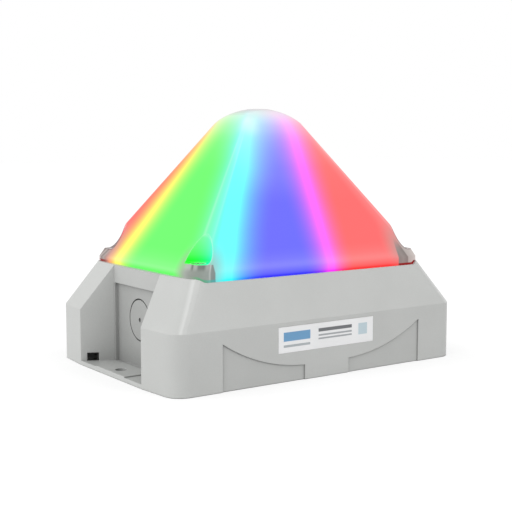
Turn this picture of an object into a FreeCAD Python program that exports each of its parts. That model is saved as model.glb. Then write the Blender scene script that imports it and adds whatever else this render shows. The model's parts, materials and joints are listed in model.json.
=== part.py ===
import FreeCAD, Part
import math
import os
import re

import Sketcher

# Rectangular signal beacon in millimetres.
# X runs along the long side, Y across, Z up from the mounting face, origin at the centre of that face.

# Driving dimensions
SIZES = {
    # Housing outline
    "base_length": "210",
    "base_width": "142",
    "wall_height": "34.3",
    "shoulder_rise": "27",
    "end_setback": "18.2",
    "side_setback": "10",
    "wing_sweep": "0.0767",
    "corner_radius": "10.2",
    # Housing walls
    "floor_thickness": "3",
    "side_wall": "3.5",
    "end_wall": "4.9",
    "rim_width": "8.2",
    "cavity_radius": "5",
    "wing_wall": "2.8",
    "wing_core_height": "30",
    "wing_rib": "2",
    "core_setback": "3",
    # Cable recess, ear and knock-out at each end
    "mouth_width": "76.8",
    "throat_width": "56.2",
    "pocket_depth": "2.1",
    "pocket_side": "0.9",
    "pocket_height": "50.6",
    "ear_thickness": "2.4",
    "pad_width": "36.4",
    "pad_thickness": "3",
    "mount_radius": "3.5",
    "mount_edge": "7.5",
    "knockout_radius": "12.4",
    "knockout_height": "31",
    "knockout_line": "0.7",
    "knockout_depth": "1.6",
    "dimple_radius": "1.3",
    "dimple_depth": "0.8",
    "window_edge": "3.4",
    "window_length": "6.3",
    "window_height": "4.9",
    # Shallow panels and label field of the long faces
    "panel_near": "16.2",
    "panel_far": "72.4",
    "panel_low": "8.55",
    "panel_high": "26.4",
    "panel_arc": "109",
    "panel_depth": "0.8",
    "label_length": "70.2",
    "label_height": "15",
    "label_base": "16.8",
    "label_thickness": "0.2",
    "label_gap": "0.1",
    # Rim, seal groove and gasket
    "side_drop": "2",
    "drop_margin": "4.8",
    "drop_run": "6",
    "drop_gap": "0.3",
    "end_ledge": "3.4",
    "side_ledge": "0.2",
    "groove_edge": "0.8",
    "groove_width": "2.2",
    "groove_depth": "4.3",
    "gasket_width": "2",
    "gasket_height": "2",
    "tongue_width": "1.6",
    # Lens
    "skirt_rise": "3",
    "skirt_radius": "8",
    "skirt_wall": "3.2",
    "lip_rise": "9.2",
    "edge_radius": "4.5",
    "end_apex": "114",
    "side_apex": "119.7",
    "lens_rise": "94.9",
    "dome_rise": "8.8",
    "dome_round": "8",
    "dome_least": "0.8",
    "dome_share": "0.9",
    "lens_drop": "4.5",
    "corner_relief": "0.6",
    "relief_width": "8",
    # Lens screws, their seals and pillars
    "screw_end": "8.2",
    "screw_side": "10.4",
    "scallop_radius": "8",
    "scallop_wall": "2.5",
    "scallop_floor": "7.7",
    "well_depth": "4.6",
    "well_gap": "0.3",
    "screw_radius": "1.75",
    "screw_gap": "0.15",
    "thread_gap": "0.05",
    "screw_length": "21",
    "head_radius": "4",
    "head_height": "3.2",
    "drive_width": "1",
    "drive_span": "4.6",
    "drive_depth": "1.6",
    "seal_height": "1.2",
    "pillar_radius": "6.5",
    "pilot_depth": "18",
    # Main board, its posts and small screws
    "board_length": "128",
    "board_width": "92",
    "board_thickness": "1.6",
    "post_height": "9",
    "post_radius": "3.5",
    "post_inset": "6",
    "small_radius": "1.25",
    "small_length": "7",
    "small_head_radius": "2.75",
    "small_head_height": "2",
    # Parts on the main board
    "terminal_length": "36",
    "terminal_depth": "10",
    "terminal_height": "12",
    "terminal_edge": "4",
    "terminal_pitch": "5.6",
    "clamp_radius": "1.9",
    "clamp_height": "2.4",
    "clamp_sink": "0.6",
    "entry_size": "4",
    "entry_depth": "5",
    "entry_base": "2.5",
    "capacitor_radius": "5",
    "capacitor_height": "14",
    "capacitor_spacing": "26",
    "part_column": "52",
    "inductor_radius": "6.5",
    "inductor_height": "8",
    "inductor_bore": "2.5",
    "chip_length": "7",
    "chip_width": "5",
    "chip_height": "1.6",
    "chip_pitch": "12",
    "chip_row": "38",
    "socket_length": "8",
    "socket_width": "4",
    "socket_height": "6",
    # Light tower
    "spacer_radius": "3.2",
    "spacer_height": "18.4",
    "spacer_bore": "8",
    "flange_length": "90",
    "flange_width": "64",
    "flange_thickness": "2.4",
    "flange_inset": "6",
    "tower_length": "36",
    "tower_width": "24",
    "tower_wall": "2",
    "tower_headroom": "26",
    "led_board_start": "4",
    "led_board_head": "4",
    "led_board_side": "1",
    "led_size": "5",
    "led_height": "1.4",
    "led_column": "9",
    "led_start": "18",
    "led_pitch": "13",
    "tiny_radius": "1",
    "tiny_length": "3.2",
    "tiny_head_radius": "2",
    "tiny_head_height": "1.4",
    "tiny_low": "10",
    "tiny_high": "4",
    "connector_height": "6",
    "lead_radius": "1.5",
    "lead_gap": "1",
}

# Counts
TERMINALS = 6
LED_ROWS = 5
CHIPS = 3
SIDES = (1, -1)
CORNERS = [(x, y) for x in SIDES for y in SIDES]

# Levels, in terms of the driving dimensions
RIM = "(wall_height + shoulder_rise)"
SIDE_RIM = f"({RIM} - side_drop)"
HALF_X = "(base_length / 2)"
HALF_Y = "(base_width / 2)"
TOP_X = f"({HALF_X} - end_setback)"
TOP_Y = f"({HALF_Y} - side_setback)"
POCKET_X = f"({TOP_X} - pocket_depth)"
CAVITY_X = f"({POCKET_X} - end_wall)"
CAVITY_Y = f"({HALF_Y} - side_wall)"
CAVITY_TOP_Y = f"({TOP_Y} - rim_width)"
SKIRT_X = f"({TOP_X} - end_ledge)"
SKIRT_Y = f"({TOP_Y} - side_ledge)"
SKIRT_TOP = f"({RIM} + skirt_rise)"
LENS_TOP = f"({RIM} + lens_rise)"
END_APEX = f"({RIM} + end_apex)"
SIDE_APEX = f"({RIM} + side_apex)"
DOME_START = f"({LENS_TOP} - dome_rise)"
SCREW_X = f"({SKIRT_X} - screw_end)"
SCREW_Y = f"({SKIRT_Y} - screw_side)"
SCALLOP_FLOOR = f"({RIM} + scallop_floor)"
WELL_FLOOR = f"({SCALLOP_FLOOR} - well_depth)"
GROOVE_FLOOR = f"({RIM} - groove_depth)"
GASKET_TOP = f"({GROOVE_FLOOR} + gasket_height)"
BOARD_BASE = "(floor_thickness + post_height)"
BOARD_TOP = f"({BOARD_BASE} + board_thickness)"
FLANGE_BASE = f"({BOARD_TOP} + spacer_height)"
FLANGE_TOP = f"({FLANGE_BASE} + flange_thickness)"
TOWER_TOP = f"({LENS_TOP} - tower_headroom)"
LED_BASE = f"({FLANGE_TOP} + led_board_start)"
LED_TOP = f"({TOWER_TOP} - led_board_head)"

# Lengths by which long and short cutting tools run past the faces that they open
REACH = "20"
PAST = "1"

doc = FreeCAD.newDocument("signal_beacon")
sheet = doc.addObject("Spreadsheet::Sheet", "sizes")
for row, (alias, number) in enumerate(SIZES.items(), start=1):
    sheet.set(f"A{row}", alias)
    sheet.set(f"B{row}", number)
    sheet.setAlias(f"B{row}", alias)
doc.recompute()


def linked(text):
    """Point every size name in an expression at its cell."""
    return re.sub(r"[a-z_]+", lambda word: f"sizes.{word[0]}" if word[0] in SIZES else word[0], text)


def value(text):
    """Present value of an expression."""
    return float(sheet.evalExpression(linked(text)))


def bind(item, **expressions):
    """Bind properties of an object to expressions of the sizes."""
    for name, text in expressions.items():
        item.setExpression(name, linked(text))
    return item


def place(item, x="0", y="0", z="0"):
    """Bind the position of an object."""
    for axis, text in zip("xyz", (x, y, z)):
        item.setExpression(f"Placement.Base.{axis}", linked(text))
    return item


def box(name, x, y, z):
    """Block between pairs of expressions along X, Y and Z."""
    block = doc.addObject("Part::Box", name)
    bind(
        block,
        Length=f"({x[1]}) - ({x[0]})",
        Width=f"({y[1]}) - ({y[0]})",
        Height=f"({z[1]}) - ({z[0]})",
    )
    return place(block, x[0], y[0], z[0])


def mid_box(name, centre, size, z):
    """Block centred on a point in plan."""
    spans = [(f"{c} - ({s}) / 2", f"{c} + ({s}) / 2") for c, s in zip(centre, size)]
    return box(name, spans[0], spans[1], z)


# Turns that lay a cylinder along each axis
ALONG = {
    "+x": FreeCAD.Rotation(FreeCAD.Vector(0, 1, 0), 90),
    "-x": FreeCAD.Rotation(FreeCAD.Vector(0, 1, 0), -90),
    "+y": FreeCAD.Rotation(FreeCAD.Vector(1, 0, 0), -90),
    "-y": FreeCAD.Rotation(FreeCAD.Vector(1, 0, 0), 90),
    "+z": FreeCAD.Rotation(),
    "-z": FreeCAD.Rotation(FreeCAD.Vector(1, 0, 0), 180),
}


def rod(name, radius, length, start, along="+z"):
    """Cylinder that starts at a point and runs along an axis."""
    cylinder = doc.addObject("Part::Cylinder", name)
    cylinder.Placement = FreeCAD.Placement(FreeCAD.Vector(), ALONG[along])
    bind(cylinder, Radius=radius, Height=length)
    return place(cylinder, *start)


def through(name, radius, spot, z):
    """Rod along Z that runs past both faces of a plate."""
    return rod(name, radius, f"({z[1]}) - ({z[0]}) + 2 * {PAST}", (*spot, f"{z[0]} - {PAST}"))


def outline(name, points, z="0", upright=False):
    """Closed sketch through points given as x, y and the radius of the arc to the next point.

    A positive radius turns left, a negative one turns right and 0 is a straight line.
    An upright sketch stands in the XZ plane, and its second coordinate is a height.
    """
    sketch = doc.addObject("Sketcher::SketchObject", name)
    if upright:
        sketch.Placement = FreeCAD.Placement(FreeCAD.Vector(), ALONG["-y"])
        place(sketch, "0", z, "0")
    else:
        place(sketch, "0", "0", z)
    spots = [FreeCAD.Vector(value(x), value(y), 0) for x, y, radius in points]
    starts, ends = [], []
    for index, (x, y, radius) in enumerate(points):
        here, there = spots[index], spots[(index + 1) % len(spots)]
        if radius == "0":
            sketch.addGeometry(Part.LineSegment(here, there))
            turned = False
        else:
            turned = radius.startswith("-")
            sketch.addGeometry(arc_between(here, there, value(radius)))
        starts.append((index, 2 if turned else 1))
        ends.append((index, 1 if turned else 2))
    for index, (x, y, radius) in enumerate(points):
        following = (index + 1) % len(points)
        sketch.addConstraint(Sketcher.Constraint("Coincident", *ends[index], *starts[following]))
    for index, (x, y, radius) in enumerate(points):
        hold(sketch, Sketcher.Constraint("DistanceX", *starts[index], spots[index].x), x)
        hold(sketch, Sketcher.Constraint("DistanceY", *starts[index], spots[index].y), y)
        if radius != "0":
            size = radius.lstrip("-")
            hold(sketch, Sketcher.Constraint("Radius", index, value(size)), size)
    return sketch


def hold(sketch, constraint, text):
    """Add a constraint and bind its value."""
    number = sketch.addConstraint(constraint)
    sketch.setExpression(f"Constraints[{number}]", linked(text))


def arc_between(here, there, radius):
    """Lesser arc between two points, as Sketcher stores it, anticlockwise."""
    chord = there - here
    lift = math.sqrt(max(radius**2 - chord.Length**2 / 4, 0))
    aside = FreeCAD.Vector(-chord.y, chord.x, 0).normalize()
    centre = (here + there) / 2 + aside * math.copysign(lift, radius)
    first, last = (here, there) if radius > 0 else (there, here)
    angles = [math.atan2(spot.y - centre.y, spot.x - centre.x) for spot in (first, last)]
    circle = Part.Circle(centre, FreeCAD.Vector(0, 0, 1), abs(radius))
    return Part.ArcOfCircle(circle, angles[0], angles[1])


def rounded(name, half_x, half_y, radius, z):
    """Sketch of a rectangle with round corners, centred on the Z axis."""
    in_x, in_y = f"({half_x} - {radius})", f"({half_y} - {radius})"
    points = [
        (f"-{in_x}", f"-({half_y})", "0"),
        (in_x, f"-({half_y})", radius),
        (half_x, f"-{in_y}", "0"),
        (half_x, in_y, radius),
        (in_x, half_y, "0"),
        (f"-{in_x}", half_y, radius),
        (f"-({half_x})", in_y, "0"),
        (f"-({half_x})", f"-{in_y}", radius),
    ]
    return outline(name, points, z)


def extruded(name, sketch, length):
    """Solid pushed out of a sketch along its normal."""
    solid = doc.addObject("Part::Extrusion", name)
    solid.Base = sketch
    solid.DirMode = "Normal"
    solid.Solid = True
    return bind(solid, LengthFwd=length)


def lofted(name, sketches):
    """Solid with straight flanks through a stack of sketches."""
    solid = doc.addObject("Part::Loft", name)
    solid.Sections = sketches
    solid.Solid = True
    solid.Ruled = True
    return solid


def joined(name, items):
    """Union of several solids."""
    union = doc.addObject("Part::MultiFuse", name)
    union.Shapes = items
    union.Refine = True
    return union


def cut(name, base, tools):
    """Solid with tools taken out of it."""
    result = doc.addObject("Part::Cut", name)
    result.Base = base
    result.Tool = tools[0] if len(tools) == 1 else joined(f"{name}_tools", tools)
    return result


def group(name, items):
    """Separate like pieces that share one node."""
    bunch = doc.addObject("Part::Compound", name)
    bunch.Links = items
    return bunch


def mirrored(name, item, normal):
    """Mirror image of a solid across a plane through the origin."""
    image = doc.addObject("Part::Mirroring", name)
    image.Source = item
    image.Normal = normal
    return image


def four_ways(name, item):
    """A solid and its images on the other three corners."""
    beside = mirrored(f"{name}_beside", item, FreeCAD.Vector(1, 0, 0))
    opposite = mirrored(f"{name}_opposite", item, FreeCAD.Vector(0, 1, 0))
    crosswise = mirrored(f"{name}_crosswise", beside, FreeCAD.Vector(0, 1, 0))
    return [item, beside, opposite, crosswise]


def both_ends(name, item):
    """A solid and its image at the other end."""
    return [item, mirrored(f"{name}_far", item, FreeCAD.Vector(1, 0, 0))]


def wing_outline(name, end_x, end_y, side_y, z):
    """Plan of the housing: end faces swept back towards round corners."""
    slant = "sqrt(1 + wing_sweep ^ 2)"
    corner_x = f"({end_x} - wing_sweep * ({side_y} - {end_y}))"
    run = f"(corner_radius * ({slant} - wing_sweep))"
    bend_x, bend_y = f"({corner_x} + wing_sweep * {run} / {slant})", f"({side_y} - {run} / {slant})"
    side_x = f"({corner_x} - {run})"
    points = [
        (end_x, f"-{end_y}", "0"),
        (end_x, end_y, "0"),
        (bend_x, bend_y, "corner_radius"),
        (side_x, side_y, "0"),
        (f"-{side_x}", side_y, "corner_radius"),
        (f"-{bend_x}", bend_y, "0"),
        (f"-{end_x}", end_y, "0"),
        (f"-{end_x}", f"-{end_y}", "0"),
        (f"-{bend_x}", f"-{bend_y}", "corner_radius"),
        (f"-{side_x}", f"-{side_y}", "0"),
        (side_x, f"-{side_y}", "corner_radius"),
        (bend_x, f"-{bend_y}", "0"),
    ]
    return outline(name, points, z)


def housing_block():
    """Outer form: upright walls with a tapered shoulder."""
    mouth, throat = "(mouth_width / 2)", "(throat_width / 2)"
    foot = wing_outline("foot_plan", HALF_X, mouth, HALF_Y, "0")
    crease = wing_outline("crease_plan", HALF_X, mouth, HALF_Y, "wall_height")
    crown = wing_outline("crown_plan", TOP_X, throat, TOP_Y, RIM)
    walls = extruded("outer_walls", foot, "wall_height")
    shoulder = lofted("outer_shoulder", [crease, crown])
    return joined("outer_form", [walls, shoulder])


def housing_cavity():
    """Room for the electronics, narrower towards the rim."""
    low = rounded("cavity_floor_plan", CAVITY_X, CAVITY_Y, "cavity_radius", "floor_thickness")
    middle = rounded("cavity_crease_plan", CAVITY_X, CAVITY_Y, "cavity_radius", "wall_height")
    high = rounded("cavity_rim_plan", CAVITY_X, CAVITY_TOP_Y, "cavity_radius", RIM)
    return lofted("cavity", [low, middle, high])


def end_recess():
    """Flared cable recess with a deeper pocket below its lintel, at the +X end."""
    mouth, throat = "(mouth_width / 2)", "(throat_width / 2)"
    flare = f"({mouth} - {throat}) / end_setback * {REACH}"
    points = [
        (TOP_X, f"-{throat}", "0"),
        (f"({HALF_X} + {REACH})", f"-({mouth} + {flare})", "0"),
        (f"({HALF_X} + {REACH})", f"({mouth} + {flare})", "0"),
        (TOP_X, throat, "0"),
    ]
    plan = outline("recess_plan", points, "ear_thickness")
    flared = extruded("recess_flare", plan, f"{RIM} - ear_thickness + {REACH}")
    side = f"({throat} - pocket_side)"
    pocket = box(
        "recess_pocket",
        (POCKET_X, f"{TOP_X} + pocket_depth"),
        (f"-{side}", side),
        ("ear_thickness", "pocket_height"),
    )
    return joined("recess", [flared, pocket])


def wing_cores():
    """Hollows in the +X +Y wing, open below and parted by a rib."""
    slope = "((mouth_width - throat_width) / 2 / end_setback)"
    offset = f"(wing_wall * sqrt(1 + {slope} ^ 2))"
    near_x, far_x = f"({POCKET_X} + wing_wall)", f"({HALF_X} - wing_wall)"
    far_y = f"({HALF_Y} - wing_wall - core_setback)"
    swept_x = f"({far_x} - wing_sweep * ({far_y} - mouth_width / 2) - core_setback)"
    near_y = f"(throat_width / 2 + {slope} * ({near_x} - {TOP_X}) + {offset})"
    flank_y = f"(throat_width / 2 + {slope} * ({far_x} - {TOP_X}) + {offset})"
    points = [
        (near_x, near_y, "0"),
        (far_x, flank_y, "0"),
        (swept_x, far_y, "0"),
        (near_x, far_y, "0"),
    ]
    plan = outline("wing_core_plan", points)
    core = extruded("wing_core", plan, "wing_core_height")
    rib_y = f"({near_y} + {far_y}) / 2"
    rib = box(
        "wing_rib",
        (near_x, far_x),
        (f"{rib_y} - wing_rib / 2", f"{rib_y} + wing_rib / 2"),
        ("0", "wing_core_height"),
    )
    window_x = f"({HALF_X} - window_edge)"
    window = box(
        "wing_window",
        (f"{window_x} - window_length", window_x),
        ("throat_width / 2", flank_y),
        ("ear_thickness", "ear_thickness + window_height"),
    )
    return joined("wing_hollow", [cut("wing_cells", core, [rib]), window])


def long_face_panel():
    """Shallow field with a sagging upper edge, on the +X half of the front face."""
    points = [
        ("panel_near", f"-{REACH}", "0"),
        ("panel_far", f"-{REACH}", "0"),
        ("panel_far", "panel_high", "-panel_arc"),
        ("panel_near", "panel_low", "0"),
    ]
    face = outline("panel_face", points, f"panel_depth - {HALF_Y}", upright=True)
    return extruded("panel", face, REACH)


def ring(name, edge, width, z):
    """Rectangular ring on the line of the seal, from its outer edge inwards."""
    sketches = []
    for side, inset in (("outer", edge), ("inner", f"({edge} + {width})")):
        half_x, half_y = f"({SKIRT_X} - {inset})", f"({SKIRT_Y} - {inset})"
        sketches.append(rounded(f"{name}_{side}_plan", half_x, half_y, f"(skirt_radius - {inset})", z[0]))
    height = f"({z[1]}) - ({z[0]})"
    outer, inner = [extruded(f"{sketch.Name}_block", sketch, height) for sketch in sketches]
    return cut(name, outer, [inner])


def seal_edge(width):
    """Inset of a ring that is centred in the seal groove."""
    return f"(groove_edge + (groove_width - {width}) / 2)"


def corner_place(sign_x, sign_y):
    """Axis of a lens screw."""
    return f"{sign_x} * {SCREW_X}", f"{sign_y} * {SCREW_Y}"


def post_place(sign_x, sign_y):
    """Axis of a screw of the main board."""
    return f"{sign_x} * (board_length / 2 - post_inset)", f"{sign_y} * (board_width / 2 - post_inset)"


def spacer_place(sign_x, sign_y):
    """Axis of a spacer of the light tower."""
    return f"{sign_x} * (flange_length / 2 - flange_inset)", f"{sign_y} * (flange_width / 2 - flange_inset)"


def knockout_rod(name, radius, depth):
    """Rod sunk into the back wall of the +X recess, on the axis of its knock-out."""
    return rod(name, radius, f"2 * {depth}", (f"{POCKET_X} - {depth}", "0", "knockout_height"), "+x")


def knockout_line():
    """Round line along which the cable entry breaks out."""
    disc = knockout_rod("knockout_disc", "knockout_radius + knockout_line / 2", "knockout_depth")
    core = knockout_rod("knockout_core", "knockout_radius - knockout_line / 2", "knockout_depth")
    return cut("knockout_ring", disc, [core])


def knockout_dimple():
    """Centre mark of the cable entry."""
    return knockout_rod("dimple", "dimple_radius", "dimple_depth")


# Radius of the two arcs of the smooth step at each end of the dipped rim
DROP_ARC = "((drop_run ^ 2 + side_drop ^ 2) / (4 * side_drop))"


def dipped_rim(name, gap):
    """Block above the dipped part of the rim, as wide as the housing, with a smooth step at each end."""
    high_x = f"({TOP_X} - drop_margin - {gap})"
    middle_x, low_x = f"({high_x} - drop_run / 2)", f"({high_x} - drop_run)"
    middle_z, top = f"({RIM} - side_drop / 2)", f"({RIM} + {REACH})"
    points = [
        (f"-{low_x}", SIDE_RIM, "0"),
        (low_x, SIDE_RIM, DROP_ARC),
        (middle_x, middle_z, f"-{DROP_ARC}"),
        (high_x, RIM, "0"),
        (high_x, top, "0"),
        (f"-{high_x}", top, "0"),
        (f"-{high_x}", RIM, f"-{DROP_ARC}"),
        (f"-{middle_x}", middle_z, DROP_ARC),
    ]
    face = outline(f"{name}_face", points, HALF_Y, upright=True)
    return extruded(name, face, "base_width")


def make_housing():
    """Moulded tray with wings, ears, pillars and posts."""
    panel = long_face_panel()
    recesses = both_ends("recess", end_recess())
    hollows = four_ways("wing_hollow", wing_cores())
    field = box(
        "label_field",
        ("-label_length / 2 - label_gap", "label_length / 2 + label_gap"),
        (f"-{HALF_Y} - {REACH}", f"label_thickness - {HALF_Y}"),
        ("label_base - label_gap", "label_base + label_height + label_gap"),
    )
    tools = [housing_cavity(), field] + recesses + hollows + four_ways("panel", panel)
    shell = cut("housing_shell", housing_block(), tools)

    pad = box("ear_pad", (CAVITY_X, HALF_X), ("-pad_width / 2", "pad_width / 2"), ("0", "pad_thickness"))
    groove = ring("groove", "groove_edge", "groove_width", (GROOVE_FLOOR, f"{RIM} + {REACH}"))
    solids, holes = [shell] + both_ends("ear_pad", pad), [dipped_rim("rim_dip", "0"), groove]
    for number, (sign_x, sign_y) in enumerate(CORNERS):
        x, y = corner_place(sign_x, sign_y)
        solids.append(rod(f"pillar_{number}", "pillar_radius", RIM, (x, y, "0")))
        foot = (x, y, f"{RIM} - pilot_depth")
        holes.append(rod(f"pilot_{number}", "screw_radius", f"pilot_depth + {REACH}", foot))
        x, y = post_place(sign_x, sign_y)
        solids.append(rod(f"post_{number}", "post_radius", BOARD_BASE, (x, y, "0")))
        foot = (x, y, f"{BOARD_BASE} - small_length")
        holes.append(rod(f"post_pilot_{number}", "small_radius", REACH, foot))
    ear_hole = rod("ear_hole", "mount_radius", f"2 * {REACH}", (f"{HALF_X} - mount_edge", "0", f"-{REACH}"))
    holes += both_ends("ear_hole", ear_hole)
    holes += both_ends("knockout_ring", knockout_line())
    holes += both_ends("dimple", knockout_dimple())
    return cut("housing", joined("housing_body", solids), holes)


def taper(apex, z):
    """Share of its size at the skirt that a lens face still has at a level."""
    return f"(({apex} - {z}) / ({apex} - {SKIRT_TOP}))"


def lens_section(name, z, drop, radius=None, half_x=None, half_y=None):
    """Level of the lens: a round-cornered rectangle that shrinks towards the apexes."""
    half_x = half_x or f"({SKIRT_X} * {taper(END_APEX, z)})"
    half_y = half_y or f"({SKIRT_Y} * {taper(SIDE_APEX, z)})"
    radius = radius or f"(edge_radius * {taper(SIDE_APEX, z)})"
    return rounded(name, half_x, half_y, radius, f"({z} - {drop})")


# Depths of the levels of the dome, as shares of its rise
DOME_STEPS = (1, 0.8, 0.62, 0.46, 0.32, 0.2, 0.1, 0.03, 0)


def dome_sections(name, drop):
    """Levels of the dome: arcs tangent to the flanks below, rounder in plan towards the top."""
    start_radius = f"(edge_radius * {taper(SIDE_APEX, DOME_START)})"
    sections = []
    for number, step in enumerate(DOME_STEPS):
        depth = f"({step} * dome_rise)"
        halves = []
        for half, apex in ((SKIRT_X, END_APEX), (SKIRT_Y, SIDE_APEX)):
            slope = f"({half} / ({apex} - {SKIRT_TOP}))"
            lean = f"({slope} / sqrt(1 + {slope} ^ 2))"
            bend = f"(dome_rise / (1 - {lean}))"
            flat = f"({half} * {taper(apex, DOME_START)} - {bend} * sqrt(1 - {lean} ^ 2))"
            halves.append(f"max(dome_least; {flat} + sqrt({bend} ^ 2 - ({bend} - {depth}) ^ 2))")
        rounder = f"({start_radius} + (dome_round - {start_radius}) * {1 - step})"
        radius = f"min({rounder}; dome_share * {halves[0]}; dome_share * {halves[1]})"
        sections.append(lens_section(f"{name}_{number}", f"({LENS_TOP} - {depth})", drop, radius, *halves))
    return sections


def make_lens():
    """Hollow pyramid with a domed top, a skirt and four screw pockets."""
    lip = f"({RIM} + lip_rise)"
    skirt = [
        lens_section("skirt_foot", SKIRT_TOP, f"({SKIRT_TOP} - {SIDE_RIM})", "skirt_radius"),
        lens_section("skirt_head", SKIRT_TOP, "0", "skirt_radius"),
        lens_section("skirt_lip", lip, "0"),
    ]
    flank = [lens_section("flank_foot", lip, "0")] + dome_sections("dome", "0")
    outer = joined("lens_form", [lofted("lens_skirt", skirt), lofted("lens_flank", flank)])

    inside = [lens_section("void_foot", f"({SKIRT_TOP} + lens_drop)", "lens_drop")]
    inside += dome_sections("void_dome", "lens_drop")
    room = rounded(
        "room_plan",
        f"({SKIRT_X} - skirt_wall)",
        f"({SKIRT_Y} - skirt_wall)",
        "(skirt_radius - skirt_wall)",
        GROOVE_FLOOR,
    )
    room_block = extruded("lens_room", room, f"{SKIRT_TOP} - {GROOVE_FLOOR}")
    columns, pockets, reliefs = [], [], []
    for number, (sign_x, sign_y) in enumerate(CORNERS):
        x, y = corner_place(sign_x, sign_y)
        foot = (x, y, f"{SIDE_RIM} - {REACH}")
        thickness = "scallop_radius + scallop_wall"
        columns.append(rod(f"column_{number}", thickness, f"lens_rise + 2 * {REACH}", foot))
        pockets.append(rod(f"scallop_{number}", "scallop_radius", "lens_rise", (x, y, SCALLOP_FLOOR)))
        pockets.append(rod(f"head_well_{number}", "head_radius + well_gap", REACH, (x, y, WELL_FLOOR)))
        pockets.append(rod(f"screw_way_{number}", "screw_radius + screw_gap", f"2 * {REACH}", foot))
        corner = (f"{sign_x} * {SKIRT_X}", f"{sign_y} * {SKIRT_Y}")
        size = ("2 * relief_width", "2 * relief_width")
        reliefs.append(mid_box(f"relief_{number}", corner, size, (SIDE_RIM, f"{RIM} + corner_relief")))
    void = cut("lens_void", joined("lens_inside", [lofted("lens_hollow", inside), room_block]), columns)
    foot = mid_box("lens_foot", ("0", "0"), ("base_length", "base_width"), (GROOVE_FLOOR, RIM))
    end_steps = cut("end_steps", foot, [dipped_rim("lens_dip", "drop_gap")])
    shell = cut("lens_shell", outer, [void, end_steps] + reliefs)
    tongue = ring("tongue", seal_edge("tongue_width"), "tongue_width", (GASKET_TOP, SKIRT_TOP))
    return cut("lens", joined("lens_body", [shell, tongue]), pockets)


def make_gasket():
    """Sealing cord in the groove of the rim."""
    return ring("lens_gasket", seal_edge("gasket_width"), "gasket_width", (GROOVE_FLOOR, GASKET_TOP))


def make_lens_screws():
    """Cross-recessed screws that hold the lens."""
    seat = f"({WELL_FLOOR} + seal_height)"
    screws = []
    for number, (sign_x, sign_y) in enumerate(CORNERS):
        x, y = corner_place(sign_x, sign_y)
        shank = rod(f"lens_shank_{number}", "screw_radius - thread_gap", "screw_length", (x, y, seat), "-z")
        head = rod(f"lens_head_{number}", "head_radius", "head_height", (x, y, seat))
        levels = (f"{seat} + head_height - drive_depth", f"{seat} + head_height + {PAST}")
        slots = [
            mid_box(f"lens_slot_{way}_{number}", (x, y), spans, levels)
            for way, spans in (("x", ("drive_span", "drive_width")), ("y", ("drive_width", "drive_span")))
        ]
        screws.append(cut(f"lens_screw_{number}", joined(f"lens_blank_{number}", [shank, head]), slots))
    return group("lens_screws", screws)


def make_screw_seals():
    """Sealing washers below the heads of the lens screws."""
    seals = []
    for number, (sign_x, sign_y) in enumerate(CORNERS):
        start = (*corner_place(sign_x, sign_y), WELL_FLOOR)
        disc = rod(f"seal_disc_{number}", "head_radius", "seal_height", start)
        bore = rod(f"seal_bore_{number}", "screw_radius + thread_gap", "seal_height", start)
        seals.append(cut(f"screw_seal_{number}", disc, [bore]))
    return group("screw_seals", seals)


def make_label():
    """Self-adhesive label in its field."""
    return box(
        "front_label",
        ("-label_length / 2", "label_length / 2"),
        (f"-{HALF_Y}", f"label_thickness - {HALF_Y}"),
        ("label_base", "label_base + label_height"),
    )


def small_screw(name, x, y, seat, up=True):
    """Small pan-head screw, its head above the seat and its shank below, or the other way up."""
    head_way, shank_way = ("+z", "-z") if up else ("-z", "+z")
    head = rod(f"{name}_head", "small_head_radius", "small_head_height", (x, y, seat), head_way)
    shank = rod(f"{name}_shank", "small_radius - thread_gap", "small_length", (x, y, seat), shank_way)
    return joined(name, [head, shank])


def make_main_board():
    """Circuit board with screw holes."""
    plate = mid_box("board_plate", ("0", "0"), ("board_length", "board_width"), (BOARD_BASE, BOARD_TOP))
    holes, faces = [], (BOARD_BASE, BOARD_TOP)
    for number, signs in enumerate(CORNERS):
        for kind, spot in (("post", post_place(*signs)), ("spacer", spacer_place(*signs))):
            holes.append(through(f"board_hole_{kind}_{number}", "small_radius + thread_gap", spot, faces))
    return cut("main_board", plate, holes)


def make_board_screws():
    """Screws from the board into the posts of the housing."""
    return group("board_screws", [
        small_screw(f"board_screw_{number}", *post_place(*signs), BOARD_TOP)
        for number, signs in enumerate(CORNERS)
    ])


def make_spacer_screws():
    """Screws from below the board into the spacers."""
    return group("spacer_screws", [
        small_screw(f"spacer_screw_{number}", *spacer_place(*signs), BOARD_BASE, up=False)
        for number, signs in enumerate(CORNERS)
    ])


def make_carrier_spacers():
    """Spacers that carry the light tower above the board."""
    spacers = []
    for number, signs in enumerate(CORNERS):
        x, y = spacer_place(*signs)
        body = rod(f"spacer_body_{number}", "spacer_radius", "spacer_height", (x, y, BOARD_TOP))
        bores = [
            rod(f"spacer_low_{number}", "small_radius", "spacer_bore", (x, y, BOARD_TOP)),
            rod(f"spacer_high_{number}", "small_radius", "spacer_bore", (x, y, FLANGE_BASE), "-z"),
        ]
        spacers.append(cut(f"spacer_{number}", body, bores))
    return group("carrier_spacers", spacers)


def make_carrier_screws():
    """Screws from the flange into the spacers."""
    return group("carrier_screws", [
        small_screw(f"carrier_screw_{number}", *spacer_place(*signs), FLANGE_TOP)
        for number, signs in enumerate(CORNERS)
    ])


# Terminal block: its outer face, the middle of its poles and the foot of its clamp screws
TERMINAL_X = "(terminal_edge - board_length / 2)"
CLAMP_X = f"({TERMINAL_X} + terminal_depth / 2)"
CLAMP_BASE = f"({BOARD_TOP} + terminal_height - clamp_height - clamp_sink)"


def terminal_places():
    """Places of the poles of the terminal block along Y."""
    return [f"({number - (TERMINALS - 1) / 2}) * terminal_pitch" for number in range(TERMINALS)]


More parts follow.
